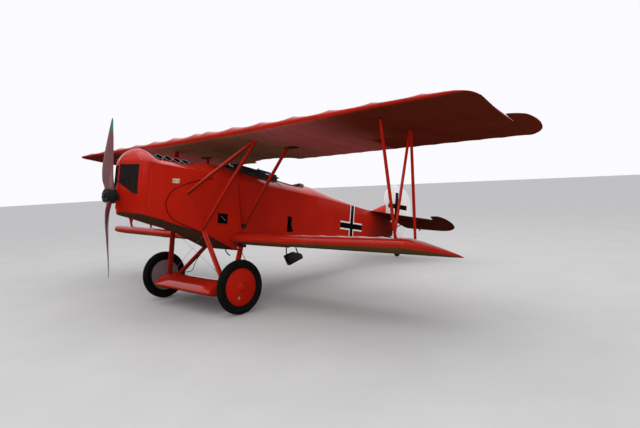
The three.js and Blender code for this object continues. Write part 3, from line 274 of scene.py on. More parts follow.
def eased(points, steps=4):
    """More points on a smooth line through some."""
    points = np.array(points, float)
    before = np.vstack([2 * points[0] - points[1], points, 2 * points[-1] - points[-2]])
    out = []
    for i in range(len(points) - 1):
        a, b, c, d = before[i:i + 4]
        for t in np.arange(steps) / steps:
            out.append(0.5 * (2 * b + (c - a) * t + (2 * a - 5 * b + 4 * c - d) * t ** 2
                              + (3 * b - a - 3 * c + d) * t ** 3))
    return np.vstack([out, points[-1:]])


def bezier(p0, p1, p2, p3, count):
    t = np.linspace(0, 1, count)[:, None]
    p0, p1, p2, p3 = (np.array(p, float) for p in (p0, p1, p2, p3))
    return (1 - t) ** 3 * p0 + 3 * (1 - t) ** 2 * t * p1 + 3 * (1 - t) * t ** 2 * p2 + t ** 3 * p3


def circle(count):
    """Cosines and sines once round."""
    turn = np.arange(count) * 2 * pi / count
    return np.cos(turn), np.sin(turn)


def rolled(points, first, turn, shift=(0, 0)):
    """Turns points in the plane of a first axis and the upright one, then shifts them along both."""
    p = np.array(points, float)
    u, z = p[..., first].copy(), p[..., 2].copy()
    p[..., first] = u * cos(turn) - z * sin(turn) + shift[0]
    p[..., 2] = u * sin(turn) + z * cos(turn) + shift[1]
    return p


def place(points):
    """Carries airframe points to the parked machine."""
    return rolled(points, 1, -TILT, (SHIFT_Y, SHIFT_Z))


# Pieces. A shape is a pair of points and faces

def smooth(mesh, angle):
    mesh.polygons.foreach_set("use_smooth", [True] * len(mesh.polygons))
    mesh.set_sharp_from_angle(angle=radians(angle))


def mesh_object(name, shape, angle=40):
    """An object with a clean, smooth-shaded mesh of an airframe shape."""
    mesh = bpy.data.meshes.new(name)
    mesh.from_pydata(place(shape[0]).tolist(), [], shape[1])
    tidy = bmesh.new()
    tidy.from_mesh(mesh)
    bmesh.ops.remove_doubles(tidy, verts=tidy.verts, dist=2e-5)
    bmesh.ops.dissolve_degenerate(tidy, edges=tidy.edges, dist=1e-5)
    bmesh.ops.recalc_face_normals(tidy, faces=tidy.faces)
    tidy.to_mesh(mesh)
    tidy.free()
    smooth(mesh, angle)
    made = bpy.data.objects.new(name, mesh)
    bpy.context.scene.collection.objects.link(made)
    return made


def piece(name, shape, finish, body="airframe", instead=(), slot=None, angle=40):
    """Makes one piece with one finish or several and lets it ride on a body."""
    finishes = [finish] if isinstance(finish, str) else finish
    made = mesh_object(name, shape, angle)
    for each in finishes:
        made.data.materials.append(M[each])
    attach(made, body)
    if instead:
        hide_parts(*instead)
    return made


def pair(name, shape, finish, body=None, instead=None, **how):
    """Makes a left piece and its mirror image, and gives each with its side."""
    made = []
    for side, hand, own in ((1, "left", shape), (-1, "right", flipped(shape))):
        rides_on = f"{body}_{hand}" if body else "airframe"
        stands_for = [f"{instead}_{hand}"] if instead else ()
        made.append((side, piece(f"{name}_{hand}", own, finish, body=rides_on, instead=stands_for, **how)))
    return made


def cut(target, shape):
    """Takes a closed shape out of a piece."""
    cutter = mesh_object("cutter", shape)
    step = target.modifiers.new("cut", "BOOLEAN")
    step.operation = "DIFFERENCE"
    step.solver = "EXACT"
    step.object = cutter
    bpy.context.view_layer.update()
    graph = bpy.context.evaluated_depsgraph_get()
    result = bpy.data.meshes.new_from_object(target.evaluated_get(graph))
    target.modifiers.remove(step)
    target.data = result
    smooth(result, 40)
    bpy.data.objects.remove(cutter)


# Shapes

def lofted(rings, looped=False):
    """A skin through rings of equal length, with flat ends unless it is looped."""
    rings = [np.asarray(ring, float) for ring in rings]
    count = len(rings[0])
    faces = []
    for i in range(len(rings) if looped else len(rings) - 1):
        a, b = i * count, ((i + 1) % len(rings)) * count
        for j in range(count):
            k = (j + 1) % count
            faces.append((a + j, a + k, b + k, b + j))
    if not looped:
        last = (len(rings) - 1) * count
        faces.append(tuple(reversed(range(count))))
        faces.append(tuple(range(last, last + count)))
    return np.concatenate(rings), faces


def joined(shapes):
    """Several shapes as one."""
    points, faces, start = [], [], 0
    for some, own in shapes:
        points.append(np.asarray(some, float))
        faces += [tuple(i + start for i in face) for face in own]
        start += len(some)
    return np.concatenate(points), faces


def flipped(shape):
    """The same shape on the other side of the middle plane."""
    points, faces = shape
    other = np.array(points, float)
    other[:, 0] *= -1
    return other, [tuple(reversed(face)) for face in faces]


def both(shapes):
    """Shapes of the left side and their mirror images as one shape."""
    left = joined(shapes)
    return joined([left, flipped(left)])


def across(rings):
    """Rings of the left side, the first of them on the middle plane, led by those of the right side."""
    return [[(-x, y, z) for x, y, z in ring] for ring in rings[:0:-1]] + rings


def bar(start, end, chord, thickness, taper=1.0, count=20):
    """A strut of oval section, its long axis towards the tail, that may thin towards its ends."""
    a, b = np.array(start, float), np.array(end, float)
    along = (b - a) / np.linalg.norm(b - a)
    aft = np.array([0, 0, 1.0]) if abs(along[1]) > 0.95 else np.array([0, 1.0, 0])
    sideways = np.cross(aft, along)
    sideways /= np.linalg.norm(sideways)
    deep = np.cross(sideways, along)
    c, s = circle(count)
    rings = []
    for t in np.linspace(0, 1, 9):
        size = taper + (1 - taper) * sin(pi * t) ** 0.5
        rings.append(a + (b - a) * t + np.outer(c, sideways) * thickness / 2 * size
                     + np.outer(s, deep) * chord / 2 * size)
    return lofted(rings)


def rod(start, end, radius, count=16):
    return bar(start, end, 2 * radius, 2 * radius, count=count)


def tube(path, radius, count=10):
    """A round rod along a path of points."""
    path = [np.array(p, float) for p in path]
    c, s = circle(count)
    rings = []
    for i, p in enumerate(path):
        along = path[min(i + 1, len(path) - 1)] - path[max(i - 1, 0)]
        along /= np.linalg.norm(along)
        side = np.cross(along, [1.0, 0, 0] if abs(along[0]) < 0.9 else [0, 1.0, 0])
        side /= np.linalg.norm(side)
        rings.append(p + radius * (np.outer(c, side) + np.outer(s, np.cross(along, side))))
    return lofted(rings)


def box(x, y, z, size):
    """A block about a middle point, with its edges cut."""
    edge = min(size) * 0.12
    hx, hy, hz = (v / 2 for v in size)
    outline = [(-hx + edge, -hy), (hx - edge, -hy), (hx, -hy + edge), (hx, hy - edge), (hx - edge, hy),
               (-hx + edge, hy), (-hx, hy - edge), (-hx, -hy + edge)]
    small = 1 - edge / min(hx, hy)
    rings = []
    for height, share in ((-hz, small), (-hz + edge, 1), (hz - edge, 1), (hz, small)):
        rings.append([(x + u * share, y + v * share, z + height) for u, v in outline])
    return lofted(rings)


def turned(profile, x, y, z, count=48):
    """Turns a closed profile of radius and place out about a line across the machine."""
    rings = [[(x + out, y + r * c, z + r * s) for r, out in profile] for c, s in zip(*circle(count))]
    return lofted(rings, looped=True)


def turned_back(profile, x, z, count=32):
    """Turns a closed profile of radius and place back about a line along the machine."""
    rings = [[(x + r * c, back, z + r * s) for r, back in profile] for c, s in zip(*circle(count))]
    return lofted(rings, looped=True)


def pillow(outline, half, inset):
    """A flat plate with a rounded edge from an outline of places back and up."""
    ring = np.array(outline)
    centre = ring.mean(0)
    rings = []
    for x, share in ((-half, 2), (-half * 0.8, 0.8), (0, 0), (half * 0.8, 0.8), (half, 2)):
        inward = ring + (centre - ring) / np.linalg.norm(centre - ring, axis=1)[:, None] * inset * share
        rings.append([(x, y, z) for y, z in inward])
    return lofted(rings)


# Materials. M lists the finished ones by name

M = {}


class Look:
    """A material, with the airframe's level axes and helpers that add nodes for its shader."""

    def __init__(self, name, colour, roughness, metallic=0.0, coat=0.0, specular=0.5):
        self.name = name
        self.material = bpy.data.materials.new(name)
        self.material.use_nodes = True
        self.tree = self.material.node_tree
        self.shader = self.tree.nodes["Principled BSDF"]
        fixed = {"Base Color": (*colour, 1), "Roughness": roughness, "Metallic": metallic,
                 "Coat Weight": coat, "Coat Roughness": 0.12, "Specular IOR Level": specular}
        for key, value in fixed.items():
            self.shader.inputs[key].default_value = value
        coordinates = self.add("TexCoord").outputs
        self.where, self.facing = coordinates["Object"], coordinates["Normal"]
        level = (0, -SHIFT_Y * COS + SHIFT_Z * SIN, -SHIFT_Y * SIN - SHIFT_Z * COS)
        turn = self.add("Mapping", Vector=self.where, Location=level, Rotation=(TILT, 0, 0))
        self.vector = turn.outputs[0]
        self.x, self.y, self.z = self.add("SeparateXYZ", Vector=self.vector).outputs

    def put(self, given, socket):
        """Links a socket, or sets a value."""
        if isinstance(given, bpy.types.NodeSocket):
            self.tree.links.new(given, socket)
        else:
            socket.default_value = given

    def add(self, kind, settings=None, **inputs):
        """Adds a node. An input is a socket or a value, by its name or as i and its number."""
        made = self.tree.nodes.new("ShaderNode" + kind)
        for key, setting in (settings or {}).items():
            setattr(made, key, setting)
        for key, given in inputs.items():
            self.put(given, made.inputs[int(key[1:]) if key[1:].isdigit() else key])
        return made

    def calc(self, operation, *values):
        numbered = {f"i{i}": given for i, given in enumerate(values)}
        return self.add("Math", {"operation": operation}, **numbered).outputs[0]

    def ramp(self, value, low, high, first=0.0, last=1.0, soft=False):
        """First up to low, last from high on, and between them straight or soft."""
        kind = {"interpolation_type": "SMOOTHSTEP" if soft else "LINEAR"}
        return self.add("MapRange", kind, Value=value, i1=low, i2=high, i3=first, i4=last).outputs[0]

    def noise(self, scale, detail, vector=None, roughness=0.5):
        vector = self.vector if vector is None else vector
        return self.add("TexNoise", Vector=vector, Scale=scale, Detail=detail, Roughness=roughness).outputs[0]

    def mix(self, factor, first, second):
        """Mixes two colours by a factor socket."""
        first, second = ((*given, 1) if isinstance(given, tuple) else given for given in (first, second))
        return self.add("Mix", {"data_type": "RGBA"}, i0=factor, i6=first, i7=second).outputs[2]

    def tone(self, base, amount, scale, vector=None):
        """A base colour that drifts lighter and darker in soft patches."""
        level = self.ramp(self.noise(scale, 3.0, vector), 0.3, 0.7, 1 - amount, 1 + amount)
        return self.add("VectorMath", {"operation": "SCALE"}, i0=base, i3=level).outputs[0]

    def upward(self, low, high):
        """0 where the skin faces down past low, 1 where it faces up past high, soft between."""
        up = self.add("SeparateXYZ", Vector=self.facing).outputs[2]
        return self.ramp(up, low, high, soft=True)

    def stripes(self, coordinate, pitch, half_width):
        """1 within half_width of every whole multiple of pitch, else 0."""
        return self.calc("LESS_THAN", self.calc("PINGPONG", coordinate, pitch / 2), half_width)

    def block(self, centre, half):
        """1 inside a rectangle of places back and up."""
        return self.calc("MULTIPLY", self.calc("COMPARE", self.y, centre[0], half[0]),
                         self.calc("COMPARE", self.z, centre[1], half[1]))

    def bars(self, level, upright):
        """1 inside either of two rectangles, each given by its centre and half sizes."""
        return self.calc("MAXIMUM", self.block(*level), self.block(*upright))

    def finish(self, shade, heights, worn=None, coat=None):
        """Feeds the shader colour, bumps, roughness in patches and gloss towards the sky, and fills M."""
        self.put(shade, self.shader.inputs["Base Color"])
        if worn:
            low, high, scale = worn
            patches = self.ramp(self.noise(scale, 5.0), 0.35, 0.65, low, high)
            self.put(patches, self.shader.inputs["Roughness"])
        if coat is not None:
            self.put(self.calc("MULTIPLY", self.upward(-0.1, 0.75), coat), self.shader.inputs["Coat Weight"])
        normal = None
        for height, depth in heights:
            bump = self.add("Bump", Height=height, Distance=depth)
            if normal is not None:
                self.put(normal, bump.inputs["Normal"])
            normal = bump.outputs[0]
        self.put(normal, self.shader.inputs["Normal"])
        M[self.name] = self.material


def scaled(colour, share):
    return tuple(c * share for c in colour)


def underside_painted_light(look):
    """Painted light on the upper wing from below: a brown painted reflection over the body, a redder painted
    sheen outside it, painted shade towards the tips.
    """
    out = look.calc("ABSOLUTE", look.x)
    middle = look.mix(look.ramp(out, 0.7, 1.5, soft=True), BROWN_REFLECTION, RED_SHEEN)
    return look.mix(look.ramp(out, 1.8, 2.9, soft=True), middle, UNDERSIDE_SHADE)


def doped_fabric(name, colour, tapes=True, coat=0.8, marks=None, under=UNDERSIDE_SHADE, painted_reflections=False):
    """Painted linen: tone drift, rib tapes with stitches, a fine weave and a soft gloss."""
    look = Look(name, colour, 0.38, coat=coat, specular=0.0)
    # Faces turned down take a painted shade colour; under the upper wing, painted reflections and sheen as
    # well.
    below = underside_painted_light(look) if painted_reflections else under
    shade = look.tone(look.mix(look.upward(-0.85, -0.3), below, colour), 0.10, 2.2)
    ways = [{"wave_type": "BANDS", "bands_direction": way} for way in ("X", "Y")]
    threads = [look.add("TexWave", way, Vector=look.vector, Scale=420.0).outputs[1] for way in ways]
    heights = [(look.calc("ADD", *threads), 0.00006), (look.noise(9.0, 2.0), 0.0006)]
    if tapes:
        tape = look.stripes(look.x, RIB_PITCH, 0.012)
        along, across_it = look.stripes(look.x, RIB_PITCH, 0.0035), look.stripes(look.y, 0.05, 0.006)
        stitch = look.calc("MULTIPLY", along, across_it)
        shade = look.mix(look.calc("MULTIPLY", tape, 0.2), shade, scaled(under, 0.5))
        heights += [(tape, 0.0006), (stitch, 0.0008)]
    if marks:
        shade = marks(look, shade)
    look.finish(shade, heights, (0.30, 0.44, 6.0), coat)


def glossy_paint(name, colour, marks=None, coat=0.8, under=UNDERSIDE_SHADE):
    """Paint over sheet metal: faint panel waves, small scuffs and a clear gloss."""
    look = Look(name, colour, 0.30, coat=coat, specular=0.0)
    # Faces turned down take a painted shade colour.
    shade = look.tone(look.mix(look.upward(-0.6, -0.05), under, colour), 0.09, 1.7)
    scuff = look.calc("GREATER_THAN", look.noise(55.0, 6.0, roughness=0.7), 0.70)
    shade = look.mix(look.calc("MULTIPLY", scuff, 0.25), shade, scaled(colour, 0.45))
    if marks:
        shade = marks(look, shade)
    look.finish(shade, [(look.noise(3.2, 1.0), 0.0018)], (0.22, 0.36, 6.0), coat)


def body_marks(look, shade):
    """A plain black cross with a white border on each side of the rear body, and painted shade towards the
    tail, where the tailplane shades the body.
    """
    # Painted shade darkens the rear body towards the tail, under the tailplane.
    shade = look.mix(look.ramp(look.y, 4.95, 5.75, last=0.7, soft=True), shade, TAIL_SHADE)
    side = look.calc("GREATER_THAN", look.calc("ABSOLUTE", look.x), 0.12)
    centre, (reach_y, reach_z) = BODY_CROSS["centre"], BODY_CROSS["reach"]
    for part, colour in (("border", WHITE), ("core", BLACK)):
        half = BODY_CROSS[part]
        mask = look.calc("MULTIPLY", side, look.bars((centre, (reach_y, half)), (centre, (half, reach_z))))
        shade = look.mix(mask, shade, colour)
    return shade


def rudder_marks(look, shade):
    """The plain cross that runs over the rudder and the fin."""
    return look.mix(look.bars(*RUDDER_BARS), shade, BLACK)


def fin_marks(look, shade):
    """White aft of a line on the fin, with its share of the rudder's cross."""
    return rudder_marks(look, look.mix(look.calc("GREATER_THAN", look.y, FIN_WHITE_FROM), shade, WHITE))


def aged_metal(name, colour, roughness, metallic=0.0, specular=0.5):
    look = Look(name, colour, roughness, metallic, specular=specular)
    look.finish(look.tone(colour, 0.25, 14.0), [(look.noise(240.0, 3.0), 0.0002)],
                (roughness * 0.75, min(1, roughness * 1.3), 22.0))


def tyre_rubber():
    colour = (0.005, 0.005, 0.004)
    look = Look("tyre_rubber", colour, 0.7, specular=0.04)
    look.finish(look.tone(colour, 0.4, 26.0), [(look.noise(160.0, 4.0), 0.0005)], (0.6, 0.85, 18.0))


def leather():
    colour = (0.020, 0.012, 0.010)
    look = Look("leather", colour, 0.5)
    cells = look.add("TexVoronoi", Vector=look.vector, Scale=220.0).outputs[0]
    look.finish(look.tone(colour, 0.35, 18.0), [(look.noise(30.0, 4.0), 0.003), (cells, 0.0006)],
                (0.38, 0.62, 14.0))


def laminated_wood():
    """Dark varnished laminations, seen as bands across the blade's depth."""
    look = Look("laminated_wood", (0.13, 0.045, 0.045), 0.30, coat=0.35, specular=0.15)
    layer = look.ramp(look.calc("PINGPONG", look.y, 0.011), 0.0, 0.011)
    bands = look.mix(look.calc("GREATER_THAN", layer, 0.5), (0.165, 0.055, 0.058), (0.125, 0.042, 0.046))
    stretch = look.add("Mapping", Vector=look.vector, Scale=(30, 30, 2.2)).outputs[0]
    grain = look.noise(4.0, 6.0, stretch)
    wood = look.mix(look.calc("MULTIPLY", grain, 0.4), bands, (0.05, 0.016, 0.020))
    look.finish(wood, [(grain, 0.0004)])


def make_materials():
    glossy_paint("red_metal", RED_PAINT)
    # The nose and belly take a darker painted shade on faces turned down.
    glossy_paint("nose_red", RED_PAINT, coat=0.65, under=BELLY_SHADE)
    glossy_paint("belly_paint", RED_PAINT, coat=0.0, under=BELLY_SHADE)
    glossy_paint("wheel_red", RED_PAINT, under=RED_PAINT, coat=0.3)
    glossy_paint("fairing_red", RED_PAINT, coat=1.0)
    glossy_paint("fin_paint", FIN_RED, marks=fin_marks, under=FIN_RED)
    glossy_paint("rivet_red", RIVET_RED, under=RIVET_RED)
    glossy_paint("white_paint", WHITE, under=WHITE)
    glossy_paint("green_tip", GREEN, under=GREEN)
    doped_fabric("red_fabric", RED_FABRIC)
    doped_fabric("upper_fabric", RED_FABRIC, painted_reflections=True)
    doped_fabric("lower_fabric", RED_FABRIC, under=OLIVE_SHADE_AND_REFLECTION)
    doped_fabric("red_body_fabric", RED_FABRIC, tapes=False, marks=body_marks, coat=1.0)
    doped_fabric("maroon", MAROON, coat=0.5, under=MAROON)
    doped_fabric("white_fabric", PALE, tapes=False, marks=rudder_marks, under=PALE)
    doped_fabric("linen", LINEN, tapes=False, under=LINEN, coat=0.1)
    aged_metal("black_metal", (0.006, 0.006, 0.0065), 0.5, specular=0.15)
    aged_metal("grille", (0.020, 0.013, 0.012), 0.6, specular=0.1)
    # Flat black that stands in for the shade inside openings and holes: painted shade.
    aged_metal("dark_hollow", (0.002, 0.002, 0.002), 0.95, specular=0.0)
    aged_metal("seam", (0.030, 0.004, 0.003), 0.8, specular=0.0)
    aged_metal("steel", (0.42, 0.42, 0.43), 0.34, 1.0)
    aged_metal("dull_steel", (0.22, 0.22, 0.23), 0.5, 0.8)
    aged_metal("brass_plate", (0.50, 0.40, 0.29), 0.55, specular=0.2)
    tyre_rubber()
    laminated_wood()
    leather()


# Camera, light and floor

def make_camera():
    yaw, pitch, roll = (radians(v) for v in (CAMERA_YAW, CAMERA_PITCH, CAMERA_ROLL))
    forward = Vector((-sin(yaw) * cos(pitch), cos(yaw) * cos(pitch), sin(pitch)))
    level = forward.cross(Vector((0, 0, 1))).normalized()
    upright = level.cross(forward)
    right = level * cos(roll) + upright * sin(roll)
    up = upright * cos(roll) - level * sin(roll)
    data = bpy.data.cameras.new("photo_camera")
    data.sensor_width = 36
    data.lens = CAMERA_LENS
    data.clip_end = 500
    camera = bpy.data.objects.new("photo_camera", data)
    spot = Vector((CAMERA_OFFSET[0], CAMERA_OFFSET[1] + axle_place.y, CAMERA_OFFSET[2]))
    camera.matrix_world = Matrix.Translation(spot) @ Matrix((right, up, -forward)).transposed().to_4x4()
    bpy.context.scene.collection.objects.link(camera)
    bpy.context.scene.camera = camera


def area_light(name, spot, aim, size, power):
    data = bpy.data.lights.new(name, "AREA")
    data.shape = "RECTANGLE"
    data.size, data.size_y = size
    data.energy = power
    made = bpy.data.objects.new(name, data)
    made.location = spot
    made.rotation_euler = (Vector(aim) - Vector(spot)).to_track_quat("-Z", "Y").to_euler()
    bpy.context.scene.collection.objects.link(made)


def make_stage():
    world = bpy.data.worlds.new("sky")
    world.use_nodes = True
    background = world.node_tree.nodes["Background"]
    background.inputs["Color"].default_value = (0.97, 0.96, 1.0, 1)
    background.inputs["Strength"].default_value = 1.0
    bpy.context.scene.world = world
    bpy.context.scene.view_settings.view_transform = "Standard"
    area_light("overhead", (1.0, -1.5, 9.5), (0, 0, 0), (12, 12), 420)
    area_light("front", (9, -9, 5.5), (0, -1, 1), (6, 4), 160)
    mesh = bpy.data.meshes.new("floor")
    reach = 120.0
    corners = [(-reach, -reach, 0), (reach, -reach, 0), (reach, reach, 0), (-reach, reach, 0)]
    mesh.from_pydata(corners, [], [(0, 1, 2, 3)])
    floor = bpy.data.objects.new("floor", mesh)
    bpy.context.scene.collection.objects.link(floor)
    look = Look("floor", FLOOR_GREY, 0.85)
    look.put(look.tone(FLOOR_GREY, 0.03, 1.2, look.where), look.shader.inputs["Base Color"])
    mesh.materials.append(look.material)


# Wings

TOP_POINTS, ARC_POINTS, AILERON_POINTS = 26, 7, 14


def section_height(share_of_chord, upper):
    """Depth of the wing's section from its chord line, as a share of the chord, on a smooth curve."""
    table = [(sqrt(row[0]), row[1], -row[2]) for row in WING_SECTION]
    return curved(table, np.sqrt(share_of_chord), 1 if upper else 2)


def slack(x, pitch):
    """How far cloth hangs between ribs of a pitch: 0 on a rib, 1 half way."""
    return 1 - (2 * abs((abs(x) / pitch) % 1 - 0.5)) ** 2


def wing_place(wing, x):
    """Leading edge, trailing edge and share of thickness of a wing at a distance out."""
    out = abs(x)
    notch = wing["cutout"] * sqrt(max(0, 1 - (out / CUTOUT_HALF_WIDTH) ** 2))
    lead = wing["lead"] + straight(wing["rows"], out, 1)
    trail = wing["lead"] + wing["chord"] - straight(wing["rows"], out, 2) - notch
    return lead, trail - SCALLOP * slack(out, RIB_PITCH), straight(wing["rows"], out, 3)


def chord_height(wing, x, y, share):
    lift = min(wing["lift_most"], wing["lift_rate"] * (1 - share))
    nose = wing["z"] + wing["rise"] * abs(x) + lift
    drop = wing["drop"] - wing["twist"] * max(0, 1 - abs(x) / wing["straight"])
    tail = nose - lift * 0.5 - drop
    return nose + (tail - nose) * (y - wing["lead"]) / wing["chord"]


def surface(wing, x, ys, upper):
    """Heights of a wing's upper or lower surface at places back, with fabric sunk between ribs."""
    lead, trail, share = wing_place(wing, x)
    s = np.clip((np.asarray(ys) - lead) / (trail - lead), 0, 1)
    depth = section_height(s, upper) * wing["chord"] * share
    soft = np.clip((s - 0.02) / 0.08, 0, 1) * np.clip((1 - s) / 0.25, 0, 1) * min(1, share + 0.3)
    sunk = SAG * slack(x, RIB_PITCH) * soft * (1 if upper else -0.6)
    if upper:
        ahead = np.clip(s / 0.02, 0, 1) * np.clip((0.5 - s) / 0.3, 0, 1)
        sunk = sunk + wing["bay_sag"] * slack(abs(x) - BAY_FIRST, BAY) * ahead
    return chord_height(wing, x, np.asarray(ys), share) + depth - sunk


def hinge_radius(x):
    """Radius of the aileron's round nose, which just reaches both surfaces over the hinge."""
    top = surface(UPPER, x, [AILERON["y"]], True)[0]
    low = surface(UPPER, x, [AILERON["y"]], False)[0]
    return max(top - AILERON["z"], AILERON["z"] - low, 0.008)


def meeting_place(x, radius, upper):
    """Where a circle round the hinge meets the wing's surface ahead of the hinge."""
    y = AILERON["y"]
    for _ in range(8):
        z = surface(UPPER, x, [y], upper)[0] - AILERON["z"]
        y = AILERON["y"] - sqrt(max(radius ** 2 - z ** 2, 0))
    return y, z + AILERON["z"]


def arc(first, last, radius):
    """Points on a circle round the hinge, through its front, from one end to the other."""
    a, b = (atan2(z - AILERON["z"], y - AILERON["y"]) % (2 * pi) for y, z in (first, last))
    turns = np.linspace(a, b, ARC_POINTS + 2)[1:-1]
    return [(AILERON["y"] + radius * cos(t), AILERON["z"] + radius * sin(t)) for t in turns]


def wing_ring(wing, x, bay=False):
    """One closed section of a wing, with a rounded bay at the back in front of an aileron."""
    lead, trail, _ = wing_place(wing, x)
    if bay:
        radius = hinge_radius(x) + AILERON["gap"]
        top_end, low_end = meeting_place(x, radius, True), meeting_place(x, radius, False)
        back = arc(top_end, low_end, radius)
        top_y, low_y = top_end[0], low_end[0]
    else:
        top_y = low_y = trail
        high, low = (surface(wing, x, [trail], upper)[0] for upper in (True, False))
        back = [(trail, high + (low - high) * (i + 1) / (ARC_POINTS + 1)) for i in range(ARC_POINTS)]
    spread = np.linspace(0, 1, TOP_POINTS) ** 1.8
    top_ys, low_ys = lead + (top_y - lead) * spread, lead + (low_y - lead) * spread
    top, low = surface(wing, x, top_ys, True), surface(wing, x, low_ys, False)
    ring = list(zip(top_ys, top)) + back + list(zip(low_ys[:0:-1], low[:0:-1]))
    return [(x, y, z) for y, z in ring]


def stations(start, end, extra=(), step=RIB_PITCH / 8):
    """Places out from start to end at even steps, with some exact ones added."""
    count = int(round(end / step)) + 2
    some = [i * step for i in range(count) if start <= i * step <= end]
    return sorted(set(round(v, 5) for v in some + [start, end] + [e for e in extra if start < e < end]))


def upper_wing():
    edge = AILERON["inner"] - 0.006
    rings = [wing_ring(UPPER, x) for x in stations(0, edge, [0.47, 0.5, 0.51, 0.515, CUTOUT_HALF_WIDTH])]
    rings += [wing_ring(UPPER, x, True) for x in stations(edge, AILERON["outer"], column_of(UPPER_ROWS))]
    rings += [wing_ring(UPPER, x) for x in (4.2262, 4.232, 4.24, 4.251, 4.262, 4.271, 4.28)]
    piece("upper_wing_skin", lofted(across(rings)), "upper_fabric", instead=["upper_wing"], angle=32)


def lower_wing():
    outs = stations(0, 3.51, column_of(LOWER_ROWS) + [3.38, 3.40, 3.435, 3.47, 3.5])
    rings = [wing_ring(LOWER, x) for x in outs]
    piece("lower_wing_skin", lofted(across(rings)), "lower_fabric", instead=["lower_wing"], angle=32)


def aileron_ring(x):
    radius = hinge_radius(x)
    trail = wing_place(UPPER, min(x, 4.2))[1]
    ends = [meeting_place(x, radius, upper) for upper in (True, False)]
    top_ys, low_ys = (y + (trail - y) * np.linspace(0, 1, AILERON_POINTS) for y, _ in ends)
    top, low = surface(UPPER, x, top_ys, True), surface(UPPER, x, low_ys, False)
    nose = arc(ends[0], ends[1], radius)[::-1]
    return [(x, y, z) for y, z in list(zip(top_ys, top)) + list(zip(low_ys[::-1], low[::-1])) + nose]


def horn_ring(x, lead, trail, half):
    """Thin section of the aileron's horn with as many points as the aileron's own."""
    s = np.linspace(0, 1, AILERON_POINTS)
    bow = 0.12 + 0.88 * np.sin(np.pi * s ** 0.6) ** 0.7
    bow[-1] = 0.12
    ys = lead + 0.01 + (trail - lead - 0.01) * s
    line = AILERON["z"] - AILERON["slope"] * (ys - AILERON["y"])
    turn = np.linspace(-pi / 2, pi / 2, ARC_POINTS + 2)[1:-1]
    nose = [(lead + 0.01 - 0.01 * cos(t), line[0] + 0.12 * half * sin(t)) for t in turn]
    ring = list(zip(ys, line + half * bow)) + list(zip(ys[::-1], (line - half * bow)[::-1])) + nose
    return [(x, y, z) for y, z in ring]


def ailerons():
    rings = [aileron_ring(x) for x in stations(AILERON["inner"], 4.216, [4.02, 4.12, 4.19])]
    lead = AILERON["y"] - hinge_radius(4.216)
    rings += [horn_ring(4.232, lead, 2.785, 0.012), horn_ring(4.239, lead, 2.783, 0.012)]
    for x in (4.24, 4.265, 4.29, 4.3175, 4.345, 4.3675, 4.39, 4.4075, 4.425, 4.435, 4.445, 4.452, 4.457):
        lead, trail = curved(HORN_ROWS, x, 1), curved(HORN_ROWS, x, 2)
        rings.append(horn_ring(x, lead, trail, straight(HORN_ROWS, x, 3)))
    pair("aileron_skin", lofted(rings), "red_fabric", body="aileron", instead="aileron", angle=32)


# Body

HALF_TURN = np.linspace(0, pi, 33)


def ridge_height(y):
    """Ridge line, rounded where the dome behind the nose falls to the deck."""
    return curved(DOME_BACK, y) if y < DOME_BACK[-1][0] else straight(RIDGE, y)


def crown(half_width, y, foot, height, fullness, turns=HALF_TURN):
    """A curve over the top from one crease to the other."""
    power = 2 / fullness
    return [(half_width * copysign(abs(cos(t)) ** power, cos(t)), y,
             foot + height * sin(t) ** power) for t in turns]


def arch(y, grow=0.0, turns=HALF_TURN):
    """The top's curve at a place back."""
    foot = straight(CREASE, y)
    height = ridge_height(y) - foot + grow
    return crown(straight(HALF_WIDTH, y) + grow, y, foot, height, straight(FULLNESS, y), turns)


def body_stations(start, end, step):
    inside = {row[0] for table in BODY_TABLES for row in table if start < row[0] < end}
    count = max(2, int(ceil((end - start) / step)))
    even = {start + (end - start) * i / count for i in range(1, count)}
    return [start] + sorted(v for v in inside | even) + [end]


def tops():
    """Engine hood, gun deck and cockpit coaming, the last with the cockpit's oval opening."""
    for node, ends in TOPS.items():
        shell = lofted([arch(y) + arch(y, -SKIN)[::-1] for y in body_stations(*ends, 0.04)])
        slot = "red_fabric" if node == "cockpit_coaming" else "red_metal"
        made = piece(f"{node}_skin", shell, "red_metal", instead=[node], slot=slot)
    c, s = circle(64)
    oval = [(COCKPIT["half_width"] * u, COCKPIT["y"] + COCKPIT["half_length"] * v) for u, v in zip(c, s)]
    cut(made, lofted([[(x, y, z) for x, y in oval] for z in (0.1, 1.0)]))


def exhaust_ports():
    """Short round stacks leaning out to one side, dark inside, with thin bright lips."""
    lean, side = np.array([0.62, 0, 0.785]), np.array([0, 1.0, 0])
    c, s = circle(28)
    round_line = np.outer(c, side) + np.outer(s, np.cross(lean, side))
    r = PORTS["radius"]
    wall = [(r, -0.07), (r, 0.0), (r - 0.004, 0.0), (r - 0.004, -0.06)]
    lip = [(r - 0.002 + 0.0035 * u, 0.001 + 0.0035 * v) for u, v in zip(*circle(8))]
    floor = [(r - 0.0045, -0.020), (r - 0.0045, -0.026)]
    for i in range(PORTS["count"]):
        y = PORTS["first"] + i * PORTS["pitch"]
        centre = np.array([PORTS["x"], y, ridge_height(y) - 0.006])
        # The black floor deep inside each stack is painted shade.
        for name, profile, finish in (("port", wall, "black_metal"), ("lip", lip, "dull_steel"),
                                      ("port_floor", floor, "dark_hollow")):
            rings = [centre + lean * away + radius * round_line for radius, away in profile]
            piece(f"exhaust_{name}_{i + 1}", lofted(rings, looped=profile is not floor), finish)


def top_height(x, y):
    foot, full = straight(CREASE, y), straight(FULLNESS, y)
    share = min(1, abs(x) / straight(HALF_WIDTH, y))
    return foot + (ridge_height(y) - foot) * (1 - share ** full) ** (1 / full)


